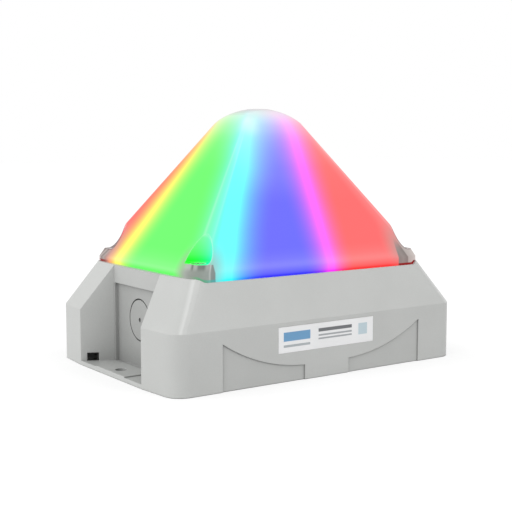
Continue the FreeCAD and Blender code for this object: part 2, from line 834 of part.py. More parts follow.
def make_terminal_block():
    """Screw terminal block with a wire entry and a screw well for each pole."""
    body = box(
        "terminal_body",
        (TERMINAL_X, f"{TERMINAL_X} + terminal_depth"),
        ("-terminal_length / 2", "terminal_length / 2"),
        (BOARD_TOP, f"{BOARD_TOP} + terminal_height"),
    )
    tools = []
    for number, y in enumerate(terminal_places()):
        foot = (CLAMP_X, y, CLAMP_BASE)
        tools.append(rod(f"terminal_well_{number}", "clamp_radius + thread_gap", REACH, foot))
        tools.append(box(
            f"terminal_entry_{number}",
            (f"{TERMINAL_X} - {PAST}", f"{TERMINAL_X} + entry_depth"),
            (f"{y} - entry_size / 2", f"{y} + entry_size / 2"),
            (f"{BOARD_TOP} + entry_base", f"{BOARD_TOP} + entry_base + entry_size"),
        ))
    return cut("terminal_block", body, tools)


def make_terminal_screws():
    """Slotted clamp screws in the wells of the terminal block."""
    screws = []
    levels = (f"{CLAMP_BASE} + clamp_height / 2", f"{CLAMP_BASE} + clamp_height + {PAST}")
    for number, y in enumerate(terminal_places()):
        body = rod(f"clamp_body_{number}", "clamp_radius", "clamp_height", (CLAMP_X, y, CLAMP_BASE))
        slot = mid_box(f"clamp_slot_{number}", (CLAMP_X, y), ("2 * clamp_radius", "drive_width"), levels)
        screws.append(cut(f"clamp_{number}", body, [slot]))
    return group("terminal_screws", screws)


def make_capacitors():
    """Upright capacitors on the board."""
    return group("capacitors", [
        rod(f"capacitor_{number}", "capacitor_radius", "capacitor_height",
            ("part_column", f"{side} * capacitor_spacing / 2", BOARD_TOP))
        for number, side in enumerate(SIDES)
    ])


def make_inductor():
    """Drum inductor on the board."""
    start = ("-(part_column / 2 + flange_inset)", "0", BOARD_TOP)
    drum = rod("inductor_drum", "inductor_radius", "inductor_height", start)
    bore = rod("inductor_eye", "inductor_bore", "inductor_height", start)
    return cut("inductor", drum, [bore])


def make_driver_chips():
    """Row of driver chips on the board."""
    chips = []
    for number in range(CHIPS):
        x = f"({number - (CHIPS - 1) / 2}) * chip_pitch"
        levels = (BOARD_TOP, f"{BOARD_TOP} + chip_height")
        chips.append(mid_box(f"chip_{number}", (x, "chip_row"), ("chip_length", "chip_width"), levels))
    return group("driver_chips", chips)


# The four sides of the light tower: name, axis across the board face, sign along it
TOWER_SIDES = (("front", "y", -1), ("rear", "y", 1), ("left", "x", -1), ("right", "x", 1))


def tower_face(axis):
    """Distance of a tower face from the Z axis."""
    return "(tower_width / 2)" if axis == "y" else "(tower_length / 2)"


def outwards(sign, start, end):
    """Span between two distances from the Z axis, whichever way it points."""
    return (start, end) if sign > 0 else (f"-({end})", f"-({start})")


def face_box(name, axis, sign, depth, along, z):
    """Block on a tower face: depth outwards, width along the face, height."""
    span = outwards(sign, f"{tower_face(axis)} + {depth[0]}", f"{tower_face(axis)} + {depth[1]}")
    return box(name, along, span, z) if axis == "y" else box(name, span, along, z)


def face_point(axis, sign, depth, along, z):
    """Point on a tower face."""
    out = f"{sign} * ({tower_face(axis)} + {depth})"
    return (along, out, z) if axis == "y" else (out, along, z)


def lead_point(axis, sign, z):
    """Point on the line of a light board's lead."""
    return face_point(axis, sign, "board_thickness + socket_width / 2", "0", z)


def make_led_carrier():
    """Cast light tower: flange with a hollow post."""
    flange = mid_box("flange", ("0", "0"), ("flange_length", "flange_width"), (FLANGE_BASE, FLANGE_TOP))
    post = mid_box("tower_post", ("0", "0"), ("tower_length", "tower_width"), (FLANGE_BASE, TOWER_TOP))
    inner = ("tower_length - 2 * tower_wall", "tower_width - 2 * tower_wall")
    levels = (f"{FLANGE_BASE} - {PAST}", f"{TOWER_TOP} - tower_wall")
    tools = [mid_box("tower_hollow", ("0", "0"), inner, levels)]
    faces = (FLANGE_BASE, FLANGE_TOP)
    for number, signs in enumerate(CORNERS):
        spot = spacer_place(*signs)
        tools.append(through(f"flange_hole_{number}", "small_radius + thread_gap", spot, faces))
    for side, axis, sign in TOWER_SIDES:
        spot = lead_point(axis, sign, FLANGE_BASE)[:2]
        tools.append(through(f"lead_way_{side}", "lead_radius + lead_gap", spot, faces))
    tools += led_screw_rods("carrier_way", "tiny_radius", "tiny_length")
    return cut("led_carrier", joined("carrier_form", [flange, post]), tools)


def led_screw_spots():
    """Seat and inward direction of every light board screw."""
    spots = []
    for side, axis, sign in TOWER_SIDES:
        inward = f"{'-' if sign > 0 else '+'}{axis}"
        for level, z in (("low", f"{LED_BASE} + tiny_low"), ("high", f"{LED_TOP} - tiny_high")):
            spots.append((f"{side}_{level}", face_point(axis, sign, "board_thickness", "0", z), inward))
    for number, sign in enumerate(SIDES):
        x = f"{sign} * (tower_length / 2 - tower_wall - tiny_high)"
        spots.append((f"top_{number}", (x, "0", f"{TOWER_TOP} + board_thickness"), "-z"))
    return spots


def led_screw_rods(name, radius, length):
    """Rod along the shank of every light board screw."""
    return [rod(f"{name}_{spot}", radius, length, seat, inward) for spot, seat, inward in led_screw_spots()]


OPPOSITE = {"+x": "-x", "-x": "+x", "+y": "-y", "-y": "+y", "-z": "+z"}


def make_led_board_screws():
    """Screws that hold the light boards to the tower."""
    screws = []
    for spot, seat, inward in led_screw_spots():
        head = rod(f"tiny_head_{spot}", "tiny_head_radius", "tiny_head_height", seat, OPPOSITE[inward])
        shank = rod(f"tiny_shank_{spot}", "tiny_radius - thread_gap", "tiny_length", seat, inward)
        screws.append(joined(f"tiny_screw_{spot}", [head, shank]))
    return group("led_board_screws", screws)


def make_led_board(side, axis, sign):
    """Upright light board on one face of the tower."""
    width = "tower_length" if axis == "y" else "tower_width"
    half = f"({width} / 2 - led_board_side)"
    along, levels = (f"-{half}", half), (LED_BASE, LED_TOP)
    plate = face_box(f"{side}_led_plate", axis, sign, ("0", "board_thickness"), along, levels)
    holes = []
    for spot, seat, inward in led_screw_spots():
        if spot.startswith(side):
            holes.append(rod(f"led_hole_{spot}", "tiny_radius", "board_thickness", seat, inward))
    return cut(f"{side}_led_board", plate, holes)


def make_leds(side, axis, sign):
    """Light-emitting chips on one upright board."""
    columns = (-1, 1) if axis == "y" else (0,)
    depth = ("board_thickness", "board_thickness + led_height")
    chips = []
    for column in columns:
        for row in range(LED_ROWS):
            middle, low = f"{column} * led_column", f"{LED_BASE} + led_start + {row} * led_pitch"
            along = (f"{middle} - led_size / 2", f"{middle} + led_size / 2")
            name = f"{side}_led_{column + 1}_{row}"
            chips.append(face_box(name, axis, sign, depth, along, (low, f"{low} + led_size")))
    return group(f"{side}_leds", chips)


def make_top_led_board():
    """Light board on top of the tower."""
    size = ("tower_length - 2 * led_board_side", "tower_width - 2 * led_board_side")
    plate = mid_box("top_led_plate", ("0", "0"), size, (TOWER_TOP, f"{TOWER_TOP} + board_thickness"))
    holes = []
    for spot, seat, inward in led_screw_spots():
        if spot.startswith("top"):
            holes.append(rod(f"led_hole_{spot}", "tiny_radius", "board_thickness", seat, inward))
    return cut("top_led_board", plate, holes)


def make_top_leds():
    """Light-emitting chips on the top board."""
    levels = (f"{TOWER_TOP} + board_thickness", f"{TOWER_TOP} + board_thickness + led_height")
    return group("top_leds", [
        mid_box(f"top_led_{number}", ("0", f"{sign} * led_size"), ("led_size", "led_size"), levels)
        for number, sign in enumerate(SIDES)
    ])


def make_led_connectors():
    """Plug at the foot of each upright light board."""
    depth = ("board_thickness", "board_thickness + socket_width")
    along = ("-socket_length / 2", "socket_length / 2")
    levels = (LED_BASE, f"{LED_BASE} + connector_height")
    return group("led_connectors", [
        face_box(f"connector_{side}", axis, sign, depth, along, levels) for side, axis, sign in TOWER_SIDES
    ])


def make_board_sockets():
    """Socket on the main board below each light board."""
    sockets = []
    for side, axis, sign in TOWER_SIDES:
        x, y, z = lead_point(axis, sign, BOARD_TOP)
        size = ("socket_length", "socket_width") if axis == "y" else ("socket_width", "socket_length")
        sockets.append(mid_box(f"socket_{side}", (x, y), size, (BOARD_TOP, f"{BOARD_TOP} + socket_height")))
    return group("board_sockets", sockets)


def make_led_leads():
    """Straight lead from each socket up to its plug."""
    base = f"({BOARD_TOP} + socket_height)"
    return group("led_leads", [
        rod(f"lead_{side}", "lead_radius", f"{LED_BASE} - {base}", lead_point(axis, sign, base))
        for side, axis, sign in TOWER_SIDES
    ])


def make_parts():
    """Every sub-part of the beacon."""
    parts = [
        make_housing(),
        make_lens(),
        make_gasket(),
        make_lens_screws(),
        make_screw_seals(),
        make_label(),
        make_main_board(),
        make_board_screws(),
        make_terminal_block(),
        make_terminal_screws(),
        make_capacitors(),
        make_inductor(),
        make_driver_chips(),
        make_board_sockets(),
        make_carrier_spacers(),
        make_spacer_screws(),
        make_led_carrier(),
        make_carrier_screws(),
    ]
    for side in TOWER_SIDES:
        parts += [make_led_board(*side), make_leds(*side)]
    parts += [
        make_top_led_board(),
        make_top_leds(),
        make_led_board_screws(),
        make_led_connectors(),
        make_led_leads(),
    ]
    for part in parts:
        part.Label = part.Name
    return parts


def check(parts):
    """Stop before writing anything if an object failed or a sub-part has no sound shape."""
    for item in doc.Objects:
        if "Invalid" in item.State or "Error" in item.State:
            raise RuntimeError(f"{item.Name} failed: {item.State}")
    for part in parts:
        if part.Shape.isNull() or not part.Shape.isValid():
            raise RuntimeError(f"{part.Label} has no valid shape")


def write(parts):
    """One file for each sub-part, named by its label."""
    os.makedirs("parts", exist_ok=True)
    for part in parts:
        part.Shape.exportStep(f"parts/{part.Label}.step")


sub_parts = make_parts()
doc.recompute()
check(sub_parts)
write(sub_parts)
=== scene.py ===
import json
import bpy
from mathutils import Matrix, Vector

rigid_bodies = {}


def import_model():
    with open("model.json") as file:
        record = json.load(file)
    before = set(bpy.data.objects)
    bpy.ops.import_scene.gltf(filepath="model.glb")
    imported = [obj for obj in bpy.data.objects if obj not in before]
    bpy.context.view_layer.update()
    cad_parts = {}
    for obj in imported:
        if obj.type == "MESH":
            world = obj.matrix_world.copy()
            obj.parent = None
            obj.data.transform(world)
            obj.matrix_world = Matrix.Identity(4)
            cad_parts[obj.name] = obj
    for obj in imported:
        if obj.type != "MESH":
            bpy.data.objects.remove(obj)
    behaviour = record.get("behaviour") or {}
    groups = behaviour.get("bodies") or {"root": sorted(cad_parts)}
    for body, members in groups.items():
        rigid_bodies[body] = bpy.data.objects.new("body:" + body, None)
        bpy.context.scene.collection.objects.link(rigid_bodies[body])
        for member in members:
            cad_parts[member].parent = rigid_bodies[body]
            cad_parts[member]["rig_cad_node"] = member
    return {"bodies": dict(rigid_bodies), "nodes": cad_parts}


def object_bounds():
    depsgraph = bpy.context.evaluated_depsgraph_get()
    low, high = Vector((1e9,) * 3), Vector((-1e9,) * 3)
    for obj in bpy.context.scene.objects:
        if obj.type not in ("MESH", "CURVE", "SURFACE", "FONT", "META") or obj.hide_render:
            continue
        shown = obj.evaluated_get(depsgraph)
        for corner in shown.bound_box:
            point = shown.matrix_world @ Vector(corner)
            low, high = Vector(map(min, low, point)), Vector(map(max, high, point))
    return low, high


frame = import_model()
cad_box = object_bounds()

from types import SimpleNamespace

import bpy
from mathutils import Matrix, Vector

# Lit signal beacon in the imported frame: metres, X along the long side, Z up from the mounting face.
# Materials measure their places in millimetres, from the middle and from the mounting face.

for stray in list(bpy.data.objects):
    if "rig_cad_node" not in stray and stray not in frame["bodies"].values():
        bpy.data.objects.remove(stray)

# Foot of the lens: half length, half width, level and corner rounding
SKIRT_X, SKIRT_Y, SKIRT_TOP, CORNER_ROUND = 83.4, 60.8, 64.3, 4.5
# Levels at which its end faces and its long faces would meet
END_APEX, SIDE_APEX = 175.3, 181.0
# Screw pockets of the lens: screw axis, level of the floor, radius
SCREW_X, SCREW_Y, POCKET_FLOOR, POCKET_RADIUS = 75.2, 50.4, 69.0, 8.0
# Housing: crease below the sloping shoulder, rim at the ends, rim along the sides
CREASE_Z, RIM_Z, SIDE_RIM_Z = 34.3, 61.3, 59.3
# Along the side the rim drops from the one to the other between these places
DIP_START, DIP_END = 76.0, 82.0
# Sunk panels of the long faces: face, top and end
PANEL_Y, PANEL_TOP, PANEL_END = 70.2, 27.0, 73.0
# Cable recess of each end: back wall, half width, flare of its cheeks, face and underside of the lintel
RECESS_X, RECESS_Y, FLARE, LINTEL_X, LINTEL_Z = 84.7, 28.1, 0.566, 86.8, 50.6
# Its knock-out: level of the middle, depth of the line, reach of the dimple
KNOCKOUT_Z, KNOCKOUT_DEPTH, DIMPLE_REACH = 31.0, 3.0, (4.0, 3.0)
# Small window in each wing: start, end, top, and depth of its jambs behind the flared wall
WINDOW_X, WINDOW_END, WINDOW_TOP = 95.3, 101.6, 7.3
JAMB_START, JAMB_END = 0.5, 3.0

MILLIMETRES = 1000.0
ORIGIN = (0.0, 0.0, 0.0)
# Useful part of a noise texture's range
NOISE_LOW, NOISE_HIGH = 0.3, 0.7
FLOAT, VECTOR = "NodeSocketFloat", "NodeSocketVector"


# Small tools for building node trees

def feed(tree, socket, given):
    """Wire an output into a socket, or set the socket's own value."""
    if isinstance(given, bpy.types.NodeSocket):
        tree.links.new(given, socket)
    else:
        socket.default_value = given


def put(tree, kind, sockets=None, **settings):
    """Place a node with its settings, and feed its sockets."""
    node = tree.nodes.new(kind)
    for name, setting in settings.items():
        setattr(node, name, setting)
    for name, given in (sockets or {}).items():
        feed(tree, node.inputs[name], given)
    return node


def calc(tree, operation, *terms):
    """Result of one operation on values."""
    return put(tree, "ShaderNodeMath", dict(enumerate(terms)), operation=operation).outputs[0]


def product(tree, *masks):
    """Several masks multiplied."""
    result = masks[0]
    for mask in masks[1:]:
        result = calc(tree, "MULTIPLY", result, mask)
    return result


def either(tree, first, second):
    """The larger of two values."""
    return calc(tree, "MAXIMUM", first, second)


def inverse(tree, mask):
    """What a mask leaves out."""
    return calc(tree, "SUBTRACT", 1.0, mask)


def span(tree, level, start, end, low=0.0, high=1.0, smooth=True):
    """A value carried from start and end to low and high, and held there beyond them."""
    sockets = {"Value": level, "From Min": start, "From Max": end, "To Min": low, "To Max": high}
    kind = "SMOOTHSTEP" if smooth else "LINEAR"
    return put(tree, "ShaderNodeMapRange", sockets, interpolation_type=kind).outputs["Result"]


def band(tree, level, start, end, soft):
    """Mask of the values between start and end, with soft borders."""
    rise = span(tree, level, start - soft, start + soft)
    fall = span(tree, level, end - soft, end + soft, 1.0, 0.0)
    return product(tree, rise, fall)


def mottle(tree, noise, low=0.0, high=1.0):
    """A noise carried from low to high."""
    return span(tree, noise, NOISE_LOW, NOISE_HIGH, low, high)


def blend(tree, share, first, second, kind="MIX"):
    """Two colours laid over each other."""
    node = put(tree, "ShaderNodeMix", data_type="RGBA", blend_type=kind)
    for number, given in ((0, share), (6, first), (7, second)):
        feed(tree, node.inputs[number], given)
    return node.outputs[2]


def tint(tree, colour, by):
    """One colour multiplied by another."""
    return blend(tree, 1.0, colour, by, "MULTIPLY")


def profile(tree, level, stops):
    """Grey level along a value, straight between stops of place and grey."""
    start, end = stops[0][0], stops[-1][0]
    ramp = put(tree, "ShaderNodeValToRGB", {"Fac": span(tree, level, start, end, smooth=False)})
    bar = ramp.color_ramp.elements
    for number, (place, shade) in enumerate(stops):
        share = (place - start) / (end - start)
        stop = bar[0] if number == 0 else bar[-1] if number == len(stops) - 1 else bar.new(share)
        stop.position = share
        stop.color = grey(shade)
    return ramp.outputs["Color"]


def course(tree, level, stops):
    """Value along a level, straight between stops of place and value."""
    values = [value for place, value in stops]
    low, high = min(values), max(values)
    share = profile(tree, level, [(place, (value - low) / (high - low)) for place, value in stops])
    return span(tree, share, 0.0, 1.0, low, high, smooth=False)


def on_vectors(tree, operation, first, second, result="Vector"):
    """Result of one operation on vectors."""
    sockets = {0: first, 1: second}
    return put(tree, "ShaderNodeVectorMath", sockets, operation=operation).outputs[result]


def distance(tree, place, point):
    """Distance of a place from a point."""
    return on_vectors(tree, "DISTANCE", place, point, "Value")


def place_on_beacon(tree):
    """Place on the beacon in millimetres."""
    sockets = {0: put(tree, "ShaderNodeTexCoord").outputs["Object"], "Scale": MILLIMETRES}
    return put(tree, "ShaderNodeVectorMath", sockets, operation="SCALE").outputs["Vector"]


def parts_of(tree, vector):
    """X, Y and Z of a vector."""
    return put(tree, "ShaderNodeSeparateXYZ", {"Vector": vector}).outputs[:]


def vector_of(tree, x, y, z):
    """Vector from X, Y and Z."""
    return put(tree, "ShaderNodeCombineXYZ", {"X": x, "Y": y, "Z": z}).outputs["Vector"]


def surface_normal(tree):
    """Direction that the surface looks in."""
    return put(tree, "ShaderNodeNewGeometry").outputs["Normal"]


def open_group(name, takes, gives):
    """New node group, with its inputs to take from and its outputs to give to."""
    group = bpy.data.node_groups.new(name, "ShaderNodeTree")
    for way, sockets in (("INPUT", takes), ("OUTPUT", gives)):
        for label, kind in sockets:
            group.interface.new_socket(label, in_out=way, socket_type=kind)
    taken = group.nodes.new("NodeGroupInput").outputs
    given = group.nodes.new("NodeGroupOutput").inputs
    return group, taken, given


def use(tree, group, **values):
    """Place a group in a material, with its own values."""
    sockets = {name.replace("_", " "): given for name, given in values.items()}
    return put(tree, "ShaderNodeGroup", sockets, node_tree=group).outputs


def empty_tree(owner):
    """Cleared node tree of a material or a world."""
    owner.use_nodes = True
    owner.node_tree.nodes.clear()
    return owner.node_tree


def open_material(name, **constants):
    """New material, with its node tree and the sockets of its one Principled shader."""
    material = bpy.data.materials.new(name)
    tree = empty_tree(material)
    sockets = {label.replace("_", " "): given for label, given in constants.items()}
    shader = put(tree, "ShaderNodeBsdfPrincipled", sockets)
    put(tree, "ShaderNodeOutputMaterial", {"Surface": shader.outputs[0]})
    return material, tree, shader.inputs


def grey(level, green=0.0):
    """Linear grey, with a little green in it if asked."""
    red, blue = level * (1 - green), level * (1 - 1.5 * green)
    return (red, level, blue, 1.0)


def bump(tree, shader, height, strength, depth, normal=None):
    """Raise the surface by a height map, to a depth in millimetres."""
    sockets = {"Height": height, "Strength": strength, "Distance": depth / MILLIMETRES}
    if normal is not None:
        sockets["Normal"] = normal
    feed(tree, shader["Normal"], put(tree, "ShaderNodeBump", sockets).outputs["Normal"])


# Effects that several materials share

def make_moulded_grain():
    """Fine skin of a moulded part, with wide, faint clouds."""
    group, takes, gives = open_group(
        "moulded_grain",
        [("Grain size", FLOAT), ("Cloud size", FLOAT)],
        [("Grain", FLOAT), ("Cloud", FLOAT)],
    )
    place = place_on_beacon(group)
    for size, label, detail in (("Grain size", "Grain", 3.0), ("Cloud size", "Cloud", 2.0)):
        sockets = {"Vector": place, "Scale": calc(group, "DIVIDE", 1.0, takes[size]), "Detail": detail}
        feed(group, gives[label], put(group, "ShaderNodeTexNoise", sockets).outputs["Fac"])
    return group


# How far the rounded normal agrees with the flat one beside an edge, and on it
EDGE_START, EDGE_FULL = 0.995, 0.82


def make_soft_edge():
    """Rounded normal along sharp edges, and a mask of those edges."""
    group, takes, gives = open_group(
        "soft_edge",
        [("Radius", FLOAT)],
        [("Normal", VECTOR), ("Edge", FLOAT)],
    )
    radius = calc(group, "DIVIDE", takes["Radius"], MILLIMETRES)
    rounded = put(group, "ShaderNodeBevel", {"Radius": radius}, samples=6).outputs["Normal"]
    agreement = on_vectors(group, "DOT_PRODUCT", rounded, surface_normal(group), "Value")
    feed(group, gives["Normal"], rounded)
    feed(group, gives["Edge"], span(group, agreement, EDGE_START, EDGE_FULL))
    return group


# Length of a metal part's lines in millimetres
LINE_LENGTH = 5.0


def make_drawn_metal():
    """Fine turning or drawing lines of a metal part, with dull patches."""
    group, takes, gives = open_group(
        "drawn_metal",
        [("Line size", FLOAT), ("Patch size", FLOAT)],
        [("Line", FLOAT), ("Patch", FLOAT)],
    )
    place = place_on_beacon(group)
    sizes = (LINE_LENGTH, LINE_LENGTH, takes["Line size"])
    parts = zip(parts_of(group, place), sizes)
    stretched = vector_of(group, *(calc(group, "DIVIDE", part, size) for part, size in parts))
    patch_scale = calc(group, "DIVIDE", 1.0, takes["Patch size"])
    for label, vector, scale in (("Line", stretched, 1.0), ("Patch", place, patch_scale)):
        noise = put(group, "ShaderNodeTexNoise", {"Vector": vector, "Scale": scale})
        feed(group, gives[label], noise.outputs["Fac"])
    return group


def make_board_tracks():
    """Copper tracks below the lacquer of a circuit board, drawn on two coordinates of its face."""
    group, takes, gives = open_group(
        "board_tracks",
        [("Face place", VECTOR), ("Pitch", FLOAT)],
        [("Track", FLOAT), ("Pad", FLOAT)],
    )
    face = {"Vector": takes["Face place"], "Scale": calc(group, "DIVIDE", 1.0, takes["Pitch"])}
    tracks = put(
        group, "ShaderNodeTexBrick",
        {**face, "Mortar Size": 0.06, "Brick Width": 2.6, "Row Height": 0.8},
        offset=0.37, squash=0.7,
    )
    feed(group, gives["Track"], tracks.outputs["Fac"])
    pads = put(group, "ShaderNodeTexVoronoi", {**face, "Randomness": 0.55})
    feed(group, gives["Pad"], span(group, pads.outputs["Distance"], 0.16, 0.12))
    return group


# Borders between the coloured lights in plan: direction across, and offset
RED_TO_GREEN = ((-0.2368, -0.9715, 0.0), 7.58)
GREEN_TO_BLUE = ((0.673, -0.7396, 0.0), -0.37)
BLUE_TO_RED = ((1.0, 0.0, 0.0), -12.3)
# Start and end of each light: its border, where across it the light is dark and where it is full,
# and how far that moves, by height
RED_START = (BLUE_TO_RED, -21.3, -2.3, (
    (72.0, -1.2), (140.0, -1.0), (145.0, -2.0), (150.0, -3.8), (153.0, -7.0),
))
RED_END = (RED_TO_GREEN, 22.0, 1.0, (
    (76.0, 0.0), (88.0, -0.2), (100.0, -1.0), (112.0, -1.9), (124.0, -2.5), (143.0, -4.4), (150.0, -6.0),
))
GREEN_START = (RED_TO_GREEN, -21.0, -0.5, (
    (75.0, -3.9), (87.0, -2.8), (100.0, -2.2), (112.0, -1.2), (124.0, -0.4), (150.0, 0.9),
))
GREEN_END = (GREEN_TO_BLUE, 19.4, 2.5, (
    (75.0, 1.8), (86.0, 0.9), (104.0, 0.3), (120.0, 0.9), (131.0, 0.1), (140.0, -0.4), (145.0, -0.4),
    (152.0, 0.4),
))
BLUE_START = (GREEN_TO_BLUE, -24.0, -3.4, (
    (76.0, -0.4), (97.0, -0.1), (108.0, 0.3), (125.0, 1.2), (133.0, 0.3), (143.0, 0.5), (150.0, 0.8),
))
BLUE_END = (BLUE_TO_RED, 19.3, 2.2, (
    (72.0, -1.5), (90.0, -0.9), (130.0, -0.4), (139.0, -0.6), (145.0, -2.4), (152.0, -5.0),
))
# The other side shows the same lights turned by half a turn and shifted
HALF_TURN, FAR_SHIFT = (-1.0, -1.0, 1.0), (3.0, 14.0, 0.0)


def make_light_turn():
    """Shares of red, green and blue light over half a turn of the beacon."""
    group, takes, gives = open_group(
        "light_turn",
        [("Place", VECTOR)],
        [("Red", FLOAT), ("Green", FLOAT), ("Blue", FLOAT)],
    )
    height = parts_of(group, takes["Place"])[2]

    def light(border, dark, full, drift):
        direction, offset = border
        along = on_vectors(group, "DOT_PRODUCT", takes["Place"], direction, "Value")
        moved = calc(group, "SUBTRACT", along, course(group, height, drift))
        share = span(group, calc(group, "ADD", moved, offset), dark, full, smooth=False)
        return product(group, share, share)

    feed(group, gives["Red"], either(group, light(*RED_END), light(*RED_START)))
    feed(group, gives["Green"], product(group, light(*GREEN_START), light(*GREEN_END)))
    feed(group, gives["Blue"], product(group, light(*BLUE_START), light(*BLUE_END)))
    return group


def make_coloured_lights(light_turn):
    """Shares of the three lights all round the beacon: the same half turn on both sides."""
    group, takes, gives = open_group("coloured_lights", [("Place", VECTOR)], [("Shares", VECTOR)])
    near = use(group, light_turn, Place=takes["Place"])
    turned = put(
        group, "ShaderNodeVectorMath", {0: takes["Place"], 1: HALF_TURN, 2: FAR_SHIFT},
        operation="MULTIPLY_ADD",
    )
    far = use(group, light_turn, Place=turned.outputs["Vector"])
    shares = [
        calc(group, joint, near[label], far[label])
        for label, joint in (("Red", "MINIMUM"), ("Green", "MAXIMUM"), ("Blue", "MAXIMUM"))
    ]
    feed(group, gives["Shares"], vector_of(group, *shares))
    return group


moulded_grain = make_moulded_grain()
soft_edge = make_soft_edge()
drawn_metal = make_drawn_metal()
board_tracks = make_board_tracks()
coloured_lights = make_coloured_lights(make_light_turn())


# Housing

# Its two close tones, its rubbed edges, and the painted highlight on its shoulder corners
HOUSING_DARK, HOUSING_LIGHT = grey(0.575, 0.016), grey(0.595, 0.016)
RUBBED_EDGE, RUBBED_EDGE_SHARE, PAINTED_SHOULDER_HIGHLIGHT = grey(0.72, 0.012), 0.35, grey(0.74, 0.012)
# Tints of its skin's specks and of its sunk panels
SPECK_DARK, SPECK_LIGHT, PANEL_TINT = grey(0.975), grey(1.02), grey(0.92)
# Painted highlight stripes on the shoulder's rounded corners: start, end and softness in the corner's
# turn, share
HIGHLIGHT_STRIPES = (((0.85, 1.3, 0.22), 0.75), ((0.95, 2.4, 0.3), 0.22))
# Sideways against endways slope at the middle of that turn, at the crease and at the rim
STRIPE_SLOPES = (1.6, 0.84)
# Upward part of the normal on the shoulder
SHOULDER_UP = (0.3, 0.7, 0.05)
# Shade of the hollows: reach in metres, open and closed share of the light, least and most shade
HOLLOW_REACH, HOLLOW_SHADE = 0.045, (0.95, 0.3, 0.0, 0.55)
# How much of that shade is left on floors that look up: upward part of the normal, shares
FLOOR_SHADE = (0.5, 0.9, 1.0, 0.15)


def sunk_panels(tree, off_x, off_y, z):
    """Mask of the sunk panels of the long faces."""
    return product(
        tree,
        band(tree, off_y, PANEL_Y - 0.2, PANEL_Y + 0.2, 0.1),
        span(tree, z, PANEL_TOP + 0.1, PANEL_TOP),
        span(tree, off_x, PANEL_END + 0.1, PANEL_END),
    )


def shoulder_highlights(tree, normal, z):
    """Mask of the painted highlight stripes along the rounded corners of the sloping shoulder."""
    endways, sideways, up = normal
    slope = span(tree, z, CREASE_Z, RIM_Z, *STRIPE_SLOPES, smooth=False)
    middle = product(tree, calc(tree, "ABSOLUTE", endways), slope)
    turn = calc(tree, "DIVIDE", calc(tree, "ABSOLUTE", sideways), either(tree, middle, 0.001))
    narrow, wide = (
        product(tree, band(tree, turn, *stripe), share) for stripe, share in HIGHLIGHT_STRIPES
    )
    on_shoulder = product(tree, band(tree, up, *SHOULDER_UP), band(tree, z, CREASE_Z, RIM_Z, 0.4))
    return product(tree, either(tree, narrow, wide), on_shoulder)


def recess_lights(tree, off_x, off_y, z):
    """Masks of the cable recess, its parts and the wing windows, each with its share of the light."""
    in_recess = product(
        tree,
        band(tree, off_x, RECESS_X - KNOCKOUT_DEPTH, LINTEL_X + 0.4, 0.2),
        span(tree, off_y, RECESS_Y + 0.5, RECESS_Y + 0.3),
    )
    below_lintel = product(tree, in_recess, span(tree, z, LINTEL_Z + 0.1, LINTEL_Z - 0.1))
    at_cheek = product(
        tree, below_lintel,
        span(tree, off_y, RECESS_Y - 1.2, RECESS_Y - 0.9),
        span(tree, off_x, LINTEL_X, LINTEL_X - 0.3),
    )
    in_line = product(tree, below_lintel, span(tree, off_x, RECESS_X - 0.1, RECESS_X - 0.3))
    from_dimple = distance(tree, vector_of(tree, off_y, z, 0.0), (0.0, KNOCKOUT_Z, 0.0))
    in_dimple = product(tree, in_line, span(tree, from_dimple, *DIMPLE_REACH))
    behind_flare = calc(tree, "SUBTRACT", off_y, product(tree, off_x, FLARE))
    flare_start = RECESS_Y - FLARE * LINTEL_X
    in_window = product(
        tree,
        band(tree, off_x, WINDOW_X - 0.3, WINDOW_END + 0.3, 0.1),
        span(tree, z, WINDOW_TOP + 0.4, WINDOW_TOP + 0.2),
        band(tree, behind_flare, flare_start + JAMB_START, flare_start + JAMB_END, 0.2),
    )
    return (
        (in_recess, 0.91), (below_lintel, 0.85), (at_cheek, 1.45), (in_line, 0.25), (in_dimple, 3.0),
        (in_window, 0.1),
    )


def housing_plastic():
    """Light grey moulded plastic with a satin, finely eroded skin."""
    material, tree, shader = open_material("housing_satin_plastic", IOR=1.48)
    grain = use(tree, moulded_grain, Grain_size=0.28, Cloud_size=26.0)
    edge = use(tree, soft_edge, Radius=0.7)
    x, y, z = parts_of(tree, place_on_beacon(tree))
    off_x, off_y = calc(tree, "ABSOLUTE", x), calc(tree, "ABSOLUTE", y)
    normal = parts_of(tree, surface_normal(tree))

    body = blend(tree, mottle(tree, grain["Cloud"]), HOUSING_DARK, HOUSING_LIGHT)
    body = blend(tree, sunk_panels(tree, off_x, off_y, z), body, PANEL_TINT, "MULTIPLY")
    body = tint(tree, body, blend(tree, span(tree, grain["Grain"], 0.35, 0.65), SPECK_DARK, SPECK_LIGHT))
    body = blend(tree, product(tree, edge["Edge"], RUBBED_EDGE_SHARE), body, RUBBED_EDGE)
    # Painted highlight stripes on the shoulder's rounded corners
    body = blend(tree, shoulder_highlights(tree, normal, z), body, PAINTED_SHOULDER_HIGHLIGHT)

    # Less light in the hollows, apart from floors that look up at the light
    hollow = put(
        tree, "ShaderNodeAmbientOcclusion", {"Distance": HOLLOW_REACH}, samples=8, only_local=True,
    )
    depth = product(
        tree,
        span(tree, hollow.outputs["AO"], *HOLLOW_SHADE, smooth=False),
        span(tree, normal[2], *FLOOR_SHADE),
    )
    light = blend(tree, depth, grey(1.0), grey(0.0))
    for mask, share in recess_lights(tree, off_x, off_y, z):
        light = blend(tree, mask, light, grey(share), "MULTIPLY")
    feed(tree, shader["Base Color"], tint(tree, body, light))
    feed(tree, shader["Roughness"], mottle(tree, grain["Cloud"], 0.36, 0.44))
    bump(tree, shader, grain["Grain"], strength=0.12, depth=0.05, normal=edge["Normal"])
    return material


# Lens. Its near and far corners, where X times Y is above 0, are called lengthwise, and the other two
# crosswise. Heights and distances are in millimetres, most of them as a start and an end of a span.

